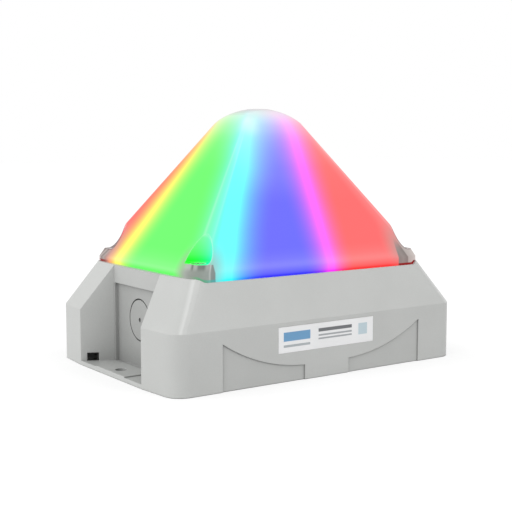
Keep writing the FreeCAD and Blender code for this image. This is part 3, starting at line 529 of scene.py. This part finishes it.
# Screen levels by height: grey veil over the light, the same in the screw pockets, and brightest light
VEIL = (
    (59.3, 0.14), (60.0, 0.24), (61.0, 0.37), (62.0, 0.42), (63.5, 0.47), (65.0, 0.515), (66.0, 0.525),
    (67.0, 0.515), (69.0, 0.485), (72.0, 0.46), (75.0, 0.445), (100.0, 0.447), (112.0, 0.46),
    (120.0, 0.473), (130.5, 0.518), (135.5, 0.55), (139.0, 0.59), (143.0, 0.655), (145.4, 0.69),
    (148.0, 0.745), (150.3, 0.80), (152.8, 0.845), (156.2, 0.84),
)
POCKET_VEIL = ((69.0, 0.12), (70.5, 0.20), (73.0, 0.32), (76.5, 0.40), (81.0, 0.45), (88.0, 0.45))
BRIGHTEST = ((59.3, 1.0), (148.0, 1.0), (152.8, 0.95), (154.8, 0.91), (156.2, 0.85))
SCREEN_GAMMA = 2.2

# X times Y from which a corner is fully lengthwise, and below 0 fully crosswise
WELL_INSIDE = 300.0
# Start of the screw corners along X and Y, and how much earlier the crosswise ones start
CORNER_X, CORNER_Y, CROSSWISE_REACH = (70.0, 71.0), (42.0, 51.0), (5.8, 1.5)

# Painted highlight lines along the conical corners: heights where they start and fade out, and their
# distance from the corner in shares of its rounding. The strip lies on the rounding, and the rims are
# wide and faint.
LINES_START, LINES_END = (70.5, 72.5), (146.0, 130.0)
STRIP_REACH, RIM_REACH = (1.25, 0.95), (4.0, 1.0)
END_LINE, SIDE_LINE = (0.85, 1.45, 0.35), (0.85, 1.3, 0.25)
# Pale foot and clearer top of the end faces, by height
END_FOOT, END_TOP = (63.0, 65.2, 1.0), (92.0, 140.0)
# Painted highlight patch on the long faces, and painted reflection spot at the shoulder of the dome
GLEAM_X, GLEAM_Z = (-2.0, 32.0, 10.0), (108.0, 146.0, 10.0)
GLINT, GLINT_REACH = (19.0, 18.5, 146.0), (10.0, 1.0)
# How far each of these lifts the veil
VEIL_LIFTS = {
    "strip": 0.045, "end_line": 0.10, "end_rim": 0.025, "side_line": 0.055, "side_rim": 0.07,
    "end_foot": 0.06, "end_top": -0.04, "gleam": 0.045, "glint": 0.10,
}

# Dim light round the bosses: distances from the screw with least and most share, heights
LENGTHWISE_HALO, LENGTHWISE_HALO_Z = (16.5, 8.0, 0.0, 0.66), (82.0, 66.0)
SIDE_HALO, END_HALO = (23.0, 9.0, 0.0, 0.7), (18.0, 8.0, 0.0, 0.5)
CROSSWISE_HALO_Z, CROSSWISE_HALO_FOOT = (92.0, 68.0), (60.0, 68.0, 0.3, 1.0)
HALO_GREY = (0.42, 0.40, 0.37, 1.0)

# Grey of the clear bosses along their outside, from the long face round the corner to the end face, with
# painted shade at their sides and painted highlight lines between: on lengthwise corners just below the
# pocket, where the screw head shows through, and at the foot
BOSS_HEAD = (
    (-15.0, 0.20), (-12.0, 0.26), (-11.7, 0.50), (-11.1, 0.50), (-10.8, 0.38), (-9.0, 0.38),
    (-7.0, 0.17), (-3.0, 0.19), (-1.0, 0.42), (1.0, 0.40), (2.0, 0.17), (3.0, 0.22), (4.5, 0.46),
    (9.0, 0.50), (16.0, 0.44),
)
BOSS_FOOT = (
    (-15.0, 0.22), (-12.2, 0.25), (-11.7, 0.42), (-11.1, 0.42), (-10.6, 0.30), (-4.0, 0.29),
    (1.0, 0.31), (5.0, 0.34), (9.0, 0.38), (16.0, 0.36),
)
HEAD_Z = (64.8, 67.6)
# The same on crosswise corners, at any height, with a little red in it
BOSS_CROSSWISE = (
    (-21.0, 0.22), (-17.0, 0.27), (-13.4, 0.22), (-12.6, 0.46), (-8.0, 0.56), (0.0, 0.46), (2.4, 0.16),
    (3.6, 0.36), (5.0, 0.46), (7.0, 0.22), (9.0, 0.40), (12.0, 0.28), (20.0, 0.28),
)
CROSSWISE_RED = (1.06, 0.96, 0.96, 1.0)
# Clouds in that grey, and how far the light is left out of the bosses
BOSS_DARK, BOSS_LIGHT, BOSS_SHARE = grey(0.85, 0.03), grey(1.15, 0.03), 0.92

# Painted shadow line at the foot of the bosses: height above the rim, place along the outside on
# lengthwise corners, and share of the light on lengthwise and on crosswise corners
FOOT_LINE, FOOT_LINE_ALONG = (1.7, 1.1), (4.0, -4.0, 0.0, 0.6)
FOOT_LINE_LIGHTS = grey(0.45), grey(0.28)
# Painted highlights on the edges of the lens and on the lips of its lengthwise pockets: heights, shares
# and greys
PALE_EDGE, PALE_EDGE_GREY = (POCKET_FLOOR + 0.4, POCKET_FLOOR + 1.4, 0.06, 0.28), grey(0.92)
LIP_Z, LIP_SHARE, LIP_GREY = (68.2, 69.5, 0.3), 0.6, (0.60, 0.58, 0.57, 1.0)
# Floors and edges of the crosswise pockets, with little light: heights, reach from the screw, shares
DIM_FLOOR_Z, DIM_FLOOR_SHARE = (77.0, 70.0), 0.65
DIM_EDGE_Z, DIM_EDGE_REACH, DIM_EDGE_SHARE = (68.0, 88.0, 4.0), (14.0, 10.0), 0.8
DIM_GREY = grey(0.14)
# Clear plastic of the dome at a grazing angle: facing with least and most share, heights
BRINK, BRINK_Z, BRINK_GREY = (0.68, 0.92, 0.0, 0.85), (110.0, 135.0), (0.42, 0.36, 0.39, 1.0)


def lens_spot(tree):
    """Where a point of the lens lies: by its corners, its screws and its faces."""
    place = place_on_beacon(tree)
    x, y, z = parts_of(tree, place)
    off_x, off_y = calc(tree, "ABSOLUTE", x), calc(tree, "ABSOLUTE", y)
    spot = SimpleNamespace(place=place, x=x, y=y, z=z, off_x=off_x, off_y=off_y)
    spot.crosswise = span(tree, product(tree, x, y), WELL_INSIDE, -WELL_INSIDE)
    spot.lengthwise = inverse(tree, spot.crosswise)
    extra_x, extra_y = CROSSWISE_REACH
    spot.in_corner = product(
        tree,
        span(tree, calc(tree, "MULTIPLY_ADD", spot.crosswise, extra_x, off_x), *CORNER_X),
        span(tree, calc(tree, "MULTIPLY_ADD", spot.crosswise, extra_y, off_y), *CORNER_Y),
    )

    # Distance from the screw, way round the boss, and the pocket above it
    aside_x, aside_y = calc(tree, "SUBTRACT", off_x, SCREW_X), calc(tree, "SUBTRACT", off_y, SCREW_Y)
    spot.from_screw = distance(tree, vector_of(tree, aside_x, aside_y, 0.0), ORIGIN)
    spot.round_boss = calc(tree, "SUBTRACT", aside_x, aside_y)
    spot.pocket = product(
        tree,
        span(tree, spot.from_screw, POCKET_RADIUS + 0.3, POCKET_RADIUS + 0.1),
        span(tree, z, POCKET_FLOOR - 0.5, POCKET_FLOOR - 0.2),
    )

    # Gaps to the two faces as they narrow upwards, and from them the distance from the corner
    end_share = calc(tree, "DIVIDE", calc(tree, "SUBTRACT", END_APEX, z), END_APEX - SKIRT_TOP)
    side_share = calc(tree, "DIVIDE", calc(tree, "SUBTRACT", SIDE_APEX, z), SIDE_APEX - SKIRT_TOP)
    gap_x = calc(tree, "SUBTRACT", product(tree, end_share, SKIRT_X), off_x)
    gap_y = calc(tree, "SUBTRACT", product(tree, side_share, SKIRT_Y), off_y)
    rounding = product(tree, side_share, CORNER_ROUND)
    spot.from_corner = calc(tree, "DIVIDE", calc(tree, "ADD", gap_x, gap_y), rounding)
    spot.on_end = span(tree, calc(tree, "SUBTRACT", gap_y, gap_x), 0.0, 4.0)
    spot.on_side = inverse(tree, spot.on_end)
    return spot


def lens_veil(tree, spot):
    """Grey veil over the light: thinner in the pockets, lifted by painted highlights along the corners
    and on the faces, paler at the foot of the end faces and clearer at their top.
    """
    flank = product(tree, span(tree, spot.z, *LINES_START), span(tree, spot.z, *LINES_END))
    rim = product(tree, span(tree, spot.from_corner, *RIM_REACH), flank)
    end_line = product(tree, band(tree, spot.from_corner, *END_LINE), flank)
    side_line = product(tree, band(tree, spot.from_corner, *SIDE_LINE), flank)
    from_middle = product(tree, spot.x, calc(tree, "SIGN", spot.y))
    from_glint = distance(tree, vector_of(tree, spot.off_x, spot.off_y, spot.z), GLINT)
    # Painted highlights: lines along the corners, a patch on the long faces and a reflection spot on the
    # dome
    marks = {
        "strip": product(tree, span(tree, spot.from_corner, *STRIP_REACH), flank),
        "end_line": product(tree, end_line, spot.on_end, spot.lengthwise),
        "end_rim": product(tree, rim, spot.on_end, spot.lengthwise),
        "side_line": product(tree, side_line, spot.on_side),
        "side_rim": product(tree, rim, spot.on_side, spot.crosswise),
        "end_foot": product(tree, band(tree, spot.z, *END_FOOT), spot.on_end),
        "end_top": product(tree, span(tree, spot.z, *END_TOP), spot.on_end),
        "gleam": product(
            tree, band(tree, from_middle, *GLEAM_X), band(tree, spot.z, *GLEAM_Z), spot.on_side,
        ),
        "glint": product(tree, span(tree, from_glint, *GLINT_REACH), spot.lengthwise),
    }
    veil = blend(tree, spot.pocket, profile(tree, spot.z, VEIL), profile(tree, spot.z, POCKET_VEIL))
    for name, mask in marks.items():
        veil = calc(tree, "MULTIPLY_ADD", mask, VEIL_LIFTS[name], veil)
    return veil


def boss_halo(tree, spot):
    """Mask of the dim light round the bosses, outside their pockets."""
    lengthwise = product(
        tree,
        span(tree, spot.from_screw, *LENGTHWISE_HALO),
        span(tree, spot.z, *LENGTHWISE_HALO_Z),
    )
    crosswise = product(
        tree,
        either(
            tree,
            product(tree, span(tree, spot.from_screw, *SIDE_HALO), spot.on_side),
            product(tree, span(tree, spot.from_screw, *END_HALO), spot.on_end),
        ),
        span(tree, spot.z, *CROSSWISE_HALO_Z),
        span(tree, spot.z, *CROSSWISE_HALO_FOOT),
    )
    outside = inverse(tree, spot.pocket)
    return product(tree, blend(tree, spot.crosswise, lengthwise, crosswise), outside)


def boss_body(tree, spot):
    """Mask of the clear bosses: up to the pocket's floor, or fading out above it if crosswise."""
    below_floor = span(tree, spot.z, POCKET_FLOOR - 0.1, POCKET_FLOOR - 0.5)
    fading = product(tree, span(tree, spot.z, POCKET_FLOOR + 8.0, POCKET_FLOOR - 1.0), spot.crosswise)
    return product(tree, spot.in_corner, either(tree, below_floor, fading), BOSS_SHARE)


def boss_grey(tree, spot, cloud):
    """Grey of the clear bosses, with painted shade and highlights across them."""
    head, foot, crosswise = (
        profile(tree, spot.round_boss, stops) for stops in (BOSS_HEAD, BOSS_FOOT, BOSS_CROSSWISE)
    )
    lengthwise = blend(tree, span(tree, spot.z, *HEAD_Z), foot, head)
    clear = blend(tree, spot.crosswise, lengthwise, tint(tree, crosswise, CROSSWISE_RED))
    return tint(tree, clear, blend(tree, cloud, BOSS_DARK, BOSS_LIGHT))


def boss_foot_line(tree, spot):
    """Mask of the painted shadow line at the foot of the bosses."""
    rim = span(tree, spot.off_x, DIP_START, DIP_END, SIDE_RIM_Z, RIM_Z)
    above_rim = calc(tree, "SUBTRACT", spot.z, rim)
    along = either(tree, spot.crosswise, span(tree, spot.round_boss, *FOOT_LINE_ALONG))
    return product(tree, spot.in_corner, along, span(tree, above_rim, *FOOT_LINE))


def dim_pockets(tree, spot, edge):
    """Mask of the floors and edges of the crosswise pockets."""
    floor = product(tree, spot.pocket, span(tree, spot.z, *DIM_FLOOR_Z), DIM_FLOOR_SHARE)
    edges = product(
        tree, edge,
        band(tree, spot.z, *DIM_EDGE_Z),
        span(tree, spot.from_screw, *DIM_EDGE_REACH), DIM_EDGE_SHARE,
    )
    return product(tree, either(tree, floor, edges), spot.crosswise)


def lens_glow():
    """Clear lens lit from inside by red, green and blue, its screw corners unlit."""
    material, tree, shader = open_material(
        "lens_lit_plastic", IOR=1.45, Specular_IOR_Level=0.03, Emission_Strength=0.93,
    )
    spot = lens_spot(tree)
    grain = use(tree, moulded_grain, Grain_size=0.5, Cloud_size=9.0)
    soft = use(tree, soft_edge, Radius=1.3)
    edge = soft["Edge"]

    # The three lights between veil and brightest level, brought from screen levels to linear ones
    shares = use(tree, coloured_lights, Place=spot.place)["Shares"]
    mixed = put(tree, "ShaderNodeMix", data_type="VECTOR", factor_mode="NON_UNIFORM")
    brightest = profile(tree, spot.z, BRIGHTEST)
    for number, given in ((1, shares), (4, lens_veil(tree, spot)), (5, brightest)):
        feed(tree, mixed.inputs[number], given)
    linear = put(tree, "ShaderNodeGamma", {"Color": mixed.outputs[1], "Gamma": SCREEN_GAMMA})
    light = linear.outputs["Color"]

    # Bosses, pockets, painted shadow at the bosses' feet and painted highlights on edges and lips, laid
    # over the light one after the other
    foot_light = tint(tree, light, blend(tree, spot.crosswise, *FOOT_LINE_LIGHTS))
    # Painted highlights along the lens's edges and the lips of its lengthwise pockets
    pale_edge = product(tree, edge, span(tree, spot.z, *PALE_EDGE))
    lip = product(tree, edge, spot.lengthwise, spot.in_corner, band(tree, spot.z, *LIP_Z), LIP_SHARE)
    facing = put(tree, "ShaderNodeLayerWeight", {"Blend": 0.5}).outputs["Facing"]
    brink = product(tree, span(tree, facing, *BRINK, smooth=False), span(tree, spot.z, *BRINK_Z))
    lit = light
    for mask, colour in (
        (boss_halo(tree, spot), HALO_GREY),
        (boss_body(tree, spot), boss_grey(tree, spot, grain["Cloud"])),
        (boss_foot_line(tree, spot), foot_light),
        (pale_edge, PALE_EDGE_GREY),
        (lip, LIP_GREY),
        (dim_pockets(tree, spot, edge), DIM_GREY),
        (brink, BRINK_GREY),
    ):
        lit = blend(tree, mask, lit, colour)

    feed(tree, shader["Emission Color"], lit)
    feed(tree, shader["Base Color"], tint(tree, lit, grey(0.10)))
    feed(tree, shader["Roughness"], mottle(tree, grain["Cloud"], 0.12, 0.2))
    bump(tree, shader, grain["Grain"], strength=0.04, depth=0.05, normal=soft["Normal"])
    return material


# Label

FILM_DARK, FILM_LIGHT = (0.93, 0.935, 0.94, 1.0), (0.97, 0.975, 0.98, 1.0)
# Its plain fields: middle and half size along X and Z, and colour
LABEL_FIELDS = (
    ((-22.0, 26.0), (9.5, 2.6), (0.10, 0.33, 0.60, 1.0)),
    ((-22.0, 20.6), (9.5, 0.7), (0.42, 0.46, 0.48, 1.0)),
    ((6.0, 27.6), (12.5, 1.0), (0.10, 0.11, 0.12, 1.0)),
    ((6.0, 24.6), (12.5, 0.5), (0.36, 0.38, 0.40, 1.0)),
    ((6.0, 22.6), (12.5, 0.5), (0.36, 0.38, 0.40, 1.0)),
    ((27.0, 25.2), (3.4, 3.4), (0.55, 0.68, 0.74, 1.0)),
)
# Softness of their borders, and how fully the ink covers the film
FIELD_SOFT, INK_COVER = 0.12, 0.92


def label_film():
    """White self-adhesive film with plain fields of colour."""
    material, tree, shader = open_material("label_printed_film", IOR=1.46)
    place = parts_of(tree, place_on_beacon(tree))
    grain = use(tree, moulded_grain, Grain_size=0.6, Cloud_size=14.0)
    edge = use(tree, soft_edge, Radius=0.15)
    face = blend(tree, mottle(tree, grain["Cloud"]), FILM_DARK, FILM_LIGHT)
    for (mid_x, mid_z), (half_x, half_z), ink in LABEL_FIELDS:
        across = band(tree, place[0], mid_x - half_x, mid_x + half_x, FIELD_SOFT)
        upright = band(tree, place[2], mid_z - half_z, mid_z + half_z, FIELD_SOFT)
        face = blend(tree, product(tree, across, upright, INK_COVER), face, ink)
    feed(tree, shader["Base Color"], face)
    feed(tree, shader["Roughness"], mottle(tree, grain["Cloud"], 0.28, 0.36))
    bump(tree, shader, grain["Grain"], strength=0.03, depth=0.03, normal=edge["Normal"])
    return material


# Pieces inside

def moulded(name, dark, light, rough):
    """Plain moulded part: two close tones of one colour, a fine skin and paler edges."""
    material, tree, shader = open_material(name, IOR=1.48)
    grain = use(tree, moulded_grain, Grain_size=0.3, Cloud_size=6.0)
    edge = use(tree, soft_edge, Radius=0.3)
    body = blend(tree, mottle(tree, grain["Cloud"]), dark, light)
    rubbed = tint(tree, light, grey(1.35))
    feed(tree, shader["Base Color"], blend(tree, product(tree, edge["Edge"], 0.25), body, rubbed))
    feed(tree, shader["Roughness"], mottle(tree, grain["Grain"], rough - 0.06, rough + 0.06))
    bump(tree, shader, grain["Grain"], strength=0.15, depth=0.04, normal=edge["Normal"])
    return material


def metal(name, dark, light, rough, line_size=0.25, patch_size=3.0):
    """Bare metal part with fine lines and dull patches."""
    material, tree, shader = open_material(name, Metallic=1.0)
    lines = use(tree, drawn_metal, Line_size=line_size, Patch_size=patch_size)
    edge = use(tree, soft_edge, Radius=0.2)
    body = blend(tree, mottle(tree, lines["Patch"]), dark, light)
    feed(tree, shader["Base Color"], blend(tree, product(tree, edge["Edge"], 0.4), body, grey(0.9)))
    feed(tree, shader["Roughness"], mottle(tree, lines["Line"], rough - 0.08, rough + 0.08))
    bump(tree, shader, lines["Line"], strength=0.08, depth=0.03, normal=edge["Normal"])
    return material


PAD_METAL = (0.62, 0.60, 0.54, 1.0)


def circuit_board(name, lacquer, track, upright):
    """Lacquered circuit board with tracks and bright pads."""
    material, tree, shader = open_material(name, IOR=1.5)
    face = place_on_beacon(tree)
    if upright:
        x, y, z = parts_of(tree, face)
        face = vector_of(tree, calc(tree, "ADD", x, y), z, 0.0)
    tracks = use(tree, board_tracks, Face_place=face, Pitch=3.6)
    grain = use(tree, moulded_grain, Grain_size=0.4, Cloud_size=8.0)
    body = blend(tree, product(tree, tracks["Track"], 0.8), lacquer, track)
    body = blend(tree, product(tree, tracks["Pad"], 0.85), body, PAD_METAL)
    feed(tree, shader["Base Color"], body)
    feed(tree, shader["Roughness"], mottle(tree, grain["Cloud"], 0.28, 0.4))
    bump(tree, shader, tracks["Track"], strength=0.2, depth=0.05)
    return material


CHIP_FRAME, CHIP_WINDOW = grey(0.75), (0.85, 0.78, 0.45, 1.0)


def light_chip():
    """Light chip: pale frame round a glowing window in the colour of its side."""
    material, tree, shader = open_material("light_chip_resin", IOR=1.5, Emission_Strength=1.0)
    shares = use(tree, coloured_lights, Place=place_on_beacon(tree))["Shares"]
    grain = use(tree, moulded_grain, Grain_size=0.3, Cloud_size=3.0)
    edge = use(tree, soft_edge, Radius=0.8)
    window = inverse(tree, edge["Edge"])
    feed(tree, shader["Emission Color"], blend(tree, window, grey(0.02), shares))
    feed(tree, shader["Base Color"], blend(tree, window, CHIP_FRAME, CHIP_WINDOW))
    feed(tree, shader["Roughness"], mottle(tree, grain["Cloud"], 0.25, 0.4))
    return material


# Turn of the sleeve's rib wave per millimetre
RIB_TURN = 5.2


def lead_sleeve():
    """Ribbed dark sleeve of a lead."""
    material, tree, shader = open_material("lead_ribbed_sleeve", IOR=1.48)
    height = parts_of(tree, place_on_beacon(tree))[2]
    grain = use(tree, moulded_grain, Grain_size=0.3, Cloud_size=4.0)
    rib = calc(tree, "SINE", product(tree, height, RIB_TURN))
    feed(tree, shader["Base Color"], blend(tree, span(tree, rib, -1.0, 1.0), grey(0.02), grey(0.05)))
    feed(tree, shader["Roughness"], mottle(tree, grain["Grain"], 0.45, 0.6))
    bump(tree, shader, rib, strength=0.3, depth=0.1)
    return material


BOARD_GREEN, TRACK_GREEN = (0.01, 0.10, 0.04, 1.0), (0.03, 0.20, 0.08, 1.0)
TERMINAL_DARK, TERMINAL_LIGHT = (0.02, 0.22, 0.08, 1.0), (0.03, 0.28, 0.11, 1.0)
BRASS_DARK, BRASS_LIGHT = (0.62, 0.50, 0.28, 1.0), (0.74, 0.62, 0.36, 1.0)
IVORY_DARK, IVORY_LIGHT = (0.66, 0.62, 0.52, 1.0), (0.74, 0.70, 0.60, 1.0)

# Finish of each material slot
FINISHES = {
    "housing_plastic": housing_plastic(),
    "lens_clear": lens_glow(),
    "label_paper": label_film(),
    "seal_rubber": moulded("seal_black_rubber", grey(0.018), grey(0.028), rough=0.62),
    "screw_steel": metal("screw_bright_steel", grey(0.46), grey(0.60), rough=0.30),
    "board_laminate": circuit_board("main_board_lacquer", BOARD_GREEN, TRACK_GREEN, upright=False),
    "light_board_laminate": circuit_board("light_board_lacquer", grey(0.74), grey(0.62), upright=True),
    "light_chip": light_chip(),
    "terminal_plastic": moulded("terminal_green_plastic", TERMINAL_DARK, TERMINAL_LIGHT, rough=0.42),
    "clamp_brass": metal("clamp_nickel_brass", BRASS_DARK, BRASS_LIGHT, rough=0.34),
    "capacitor_can": metal("capacitor_aluminium", grey(0.60), grey(0.70), rough=0.36),
    "chip_resin": moulded("chip_black_resin", grey(0.014), grey(0.022), rough=0.5),
    "plug_plastic": moulded("plug_ivory_plastic", IVORY_DARK, IVORY_LIGHT, rough=0.44),
    "lead_sleeve": lead_sleeve(),
    "carrier_metal": metal(
        "carrier_cast_metal", grey(0.50), grey(0.62), rough=0.48, line_size=0.6, patch_size=5.0,
    ),
    "spacer_metal": metal("spacer_turned_metal", grey(0.52), grey(0.64), rough=0.34),
}


def dress_nodes():
    """Give every node of the beacon the finish of its slot."""
    for node in frame["nodes"].values():
        for slot in node.material_slots:
            slot.material = FINISHES[slot.material.name]


# Studio, in metres

# Floor: half size, drop below the mounting face, greys that light the beacon and that are seen
FLOOR_HALF, FLOOR_DROP = 6.0, 0.0002
FLOOR_BOUNCE, FLOOR_SEEN = grey(0.45), grey(0.42)
# Its glow by the distance from the beacon, and without it in narrow places: reach, closed and open share
FLOOR_GLOW, NARROW_REACH, NARROW = (0.0, 0.06, 0.645, 0.72), 0.03, (0.1, 0.4)
# World: strength of its light, and as it is seen
WORLD_LIGHT, WORLD_SEEN = 0.75, 1.0
# Soft lamps: name, place, point that they look at, size and watts
SOFTBOXES = (
    ("softbox_left", (-1.45, -0.5, 0.4), (0.0, 0.0, 0.05), 0.8, 4.6),
    ("softbox_front", (0.3, -1.6, 0.4), (0.0, 0.0, 0.05), 1.0, 5.0),
    ("softbox_high", (0.7, -1.5, 1.3), (0.0, 0.0, 0.06), 1.2, 2.0),
    ("softbox_back", (-1.3, 0.6, 0.35), (0.0, 0.0, 0.03), 0.7, 4.5),
)
# Camera: place and line of sight; its lens and sensor are in millimetres
CAMERA_PLACE, CAMERA_AHEAD = (-0.3712, -0.5310, 0.1347), (0.5684, 0.8155, -0.1087)
CAMERA_LENS, CAMERA_SENSOR, CAMERA_CLIP = 72.3, 36.0, 0.01


def link(name, content):
    """New object in the scene."""
    thing = bpy.data.objects.new(name, content)
    bpy.context.scene.collection.objects.link(thing)
    return thing


def background_ray(tree):
    """1 where the background is seen straight, in a reflection or through a clear part."""
    path = put(tree, "ShaderNodeLightPath").outputs
    seen = either(tree, path["Is Camera Ray"], path["Is Glossy Ray"])
    return either(tree, seen, path["Is Transmission Ray"])


def floor_white():
    """White that keeps a faint shadow beside the beacon, and stays dark inside its windows."""
    material = bpy.data.materials.new("floor_white")
    tree = empty_tree(material)
    bounce = put(tree, "ShaderNodeBsdfDiffuse", {"Color": FLOOR_BOUNCE})
    seen = put(tree, "ShaderNodeBsdfDiffuse", {"Color": FLOOR_SEEN})
    opening = put(tree, "ShaderNodeAmbientOcclusion", {"Distance": NARROW_REACH}, samples=8)
    half_size = (cad_box[1][0], cad_box[1][1], 0.0)
    beside = put(tree, "ShaderNodeTexCoord").outputs["Object"]
    for operation, given in (("ABSOLUTE", ORIGIN), ("SUBTRACT", half_size), ("MAXIMUM", ORIGIN)):
        beside = on_vectors(tree, operation, beside, given)
    away = distance(tree, beside, ORIGIN)
    strength = product(
        tree, span(tree, opening.outputs["AO"], *NARROW), span(tree, away, *FLOOR_GLOW),
    )
    glow = put(tree, "ShaderNodeEmission", {"Color": grey(1.0), "Strength": strength})
    lit = put(tree, "ShaderNodeAddShader", {0: seen.outputs[0], 1: glow.outputs[0]})
    mixed = put(
        tree, "ShaderNodeMixShader", {0: background_ray(tree), 1: bounce.outputs[0], 2: lit.outputs[0]},
    )
    put(tree, "ShaderNodeOutputMaterial", {"Surface": mixed.outputs[0]})
    return material


def make_floor():
    """Wide white floor."""
    mesh = bpy.data.meshes.new("studio_floor")
    ways = ((-1, -1), (1, -1), (1, 1), (-1, 1))
    mesh.from_pydata([(FLOOR_HALF * x, FLOOR_HALF * y, 0.0) for x, y in ways], [], [(0, 1, 2, 3)])
    mesh.materials.append(floor_white())
    floor = link("studio_floor", mesh)
    floor.location.z = -FLOOR_DROP


def make_world():
    """White surroundings, with an even soft light from them."""
    world = bpy.data.worlds.new("studio_world")
    tree = empty_tree(world)
    strength = span(tree, background_ray(tree), 0.0, 1.0, WORLD_LIGHT, WORLD_SEEN, smooth=False)
    sky = put(tree, "ShaderNodeBackground", {"Color": grey(1.0), "Strength": strength})
    put(tree, "ShaderNodeOutputWorld", {"Surface": sky.outputs[0]})
    bpy.context.scene.world = world


def make_softbox(name, place, aim, size, watts):
    """Square soft lamp that looks at a point."""
    lamp = bpy.data.lights.new(name, "AREA")
    lamp.size = size
    lamp.energy = watts
    softbox = link(name, lamp)
    softbox.location = place
    softbox.rotation_euler = (Vector(aim) - Vector(place)).to_track_quat("-Z", "Y").to_euler()
    softbox.visible_camera = False


def make_camera():
    """Camera at the height, distance and angle of the photograph."""
    ahead = Vector(CAMERA_AHEAD).normalized()
    right = ahead.cross(Vector((0.0, 0.0, 1.0))).normalized()
    turn = Matrix((right, right.cross(ahead), -ahead)).transposed()
    lens = bpy.data.cameras.new("photo_camera")
    lens.sensor_fit = "HORIZONTAL"
    lens.sensor_width = CAMERA_SENSOR
    lens.lens = CAMERA_LENS
    lens.clip_start = CAMERA_CLIP
    camera = link("photo_camera", lens)
    camera.matrix_world = Matrix.Translation(CAMERA_PLACE) @ turn.to_4x4()
    bpy.context.scene.camera = camera


dress_nodes()
make_floor()
make_world()
for softbox in SOFTBOXES:
    make_softbox(*softbox)
make_camera()
bpy.context.scene.view_settings.view_transform = "Standard"
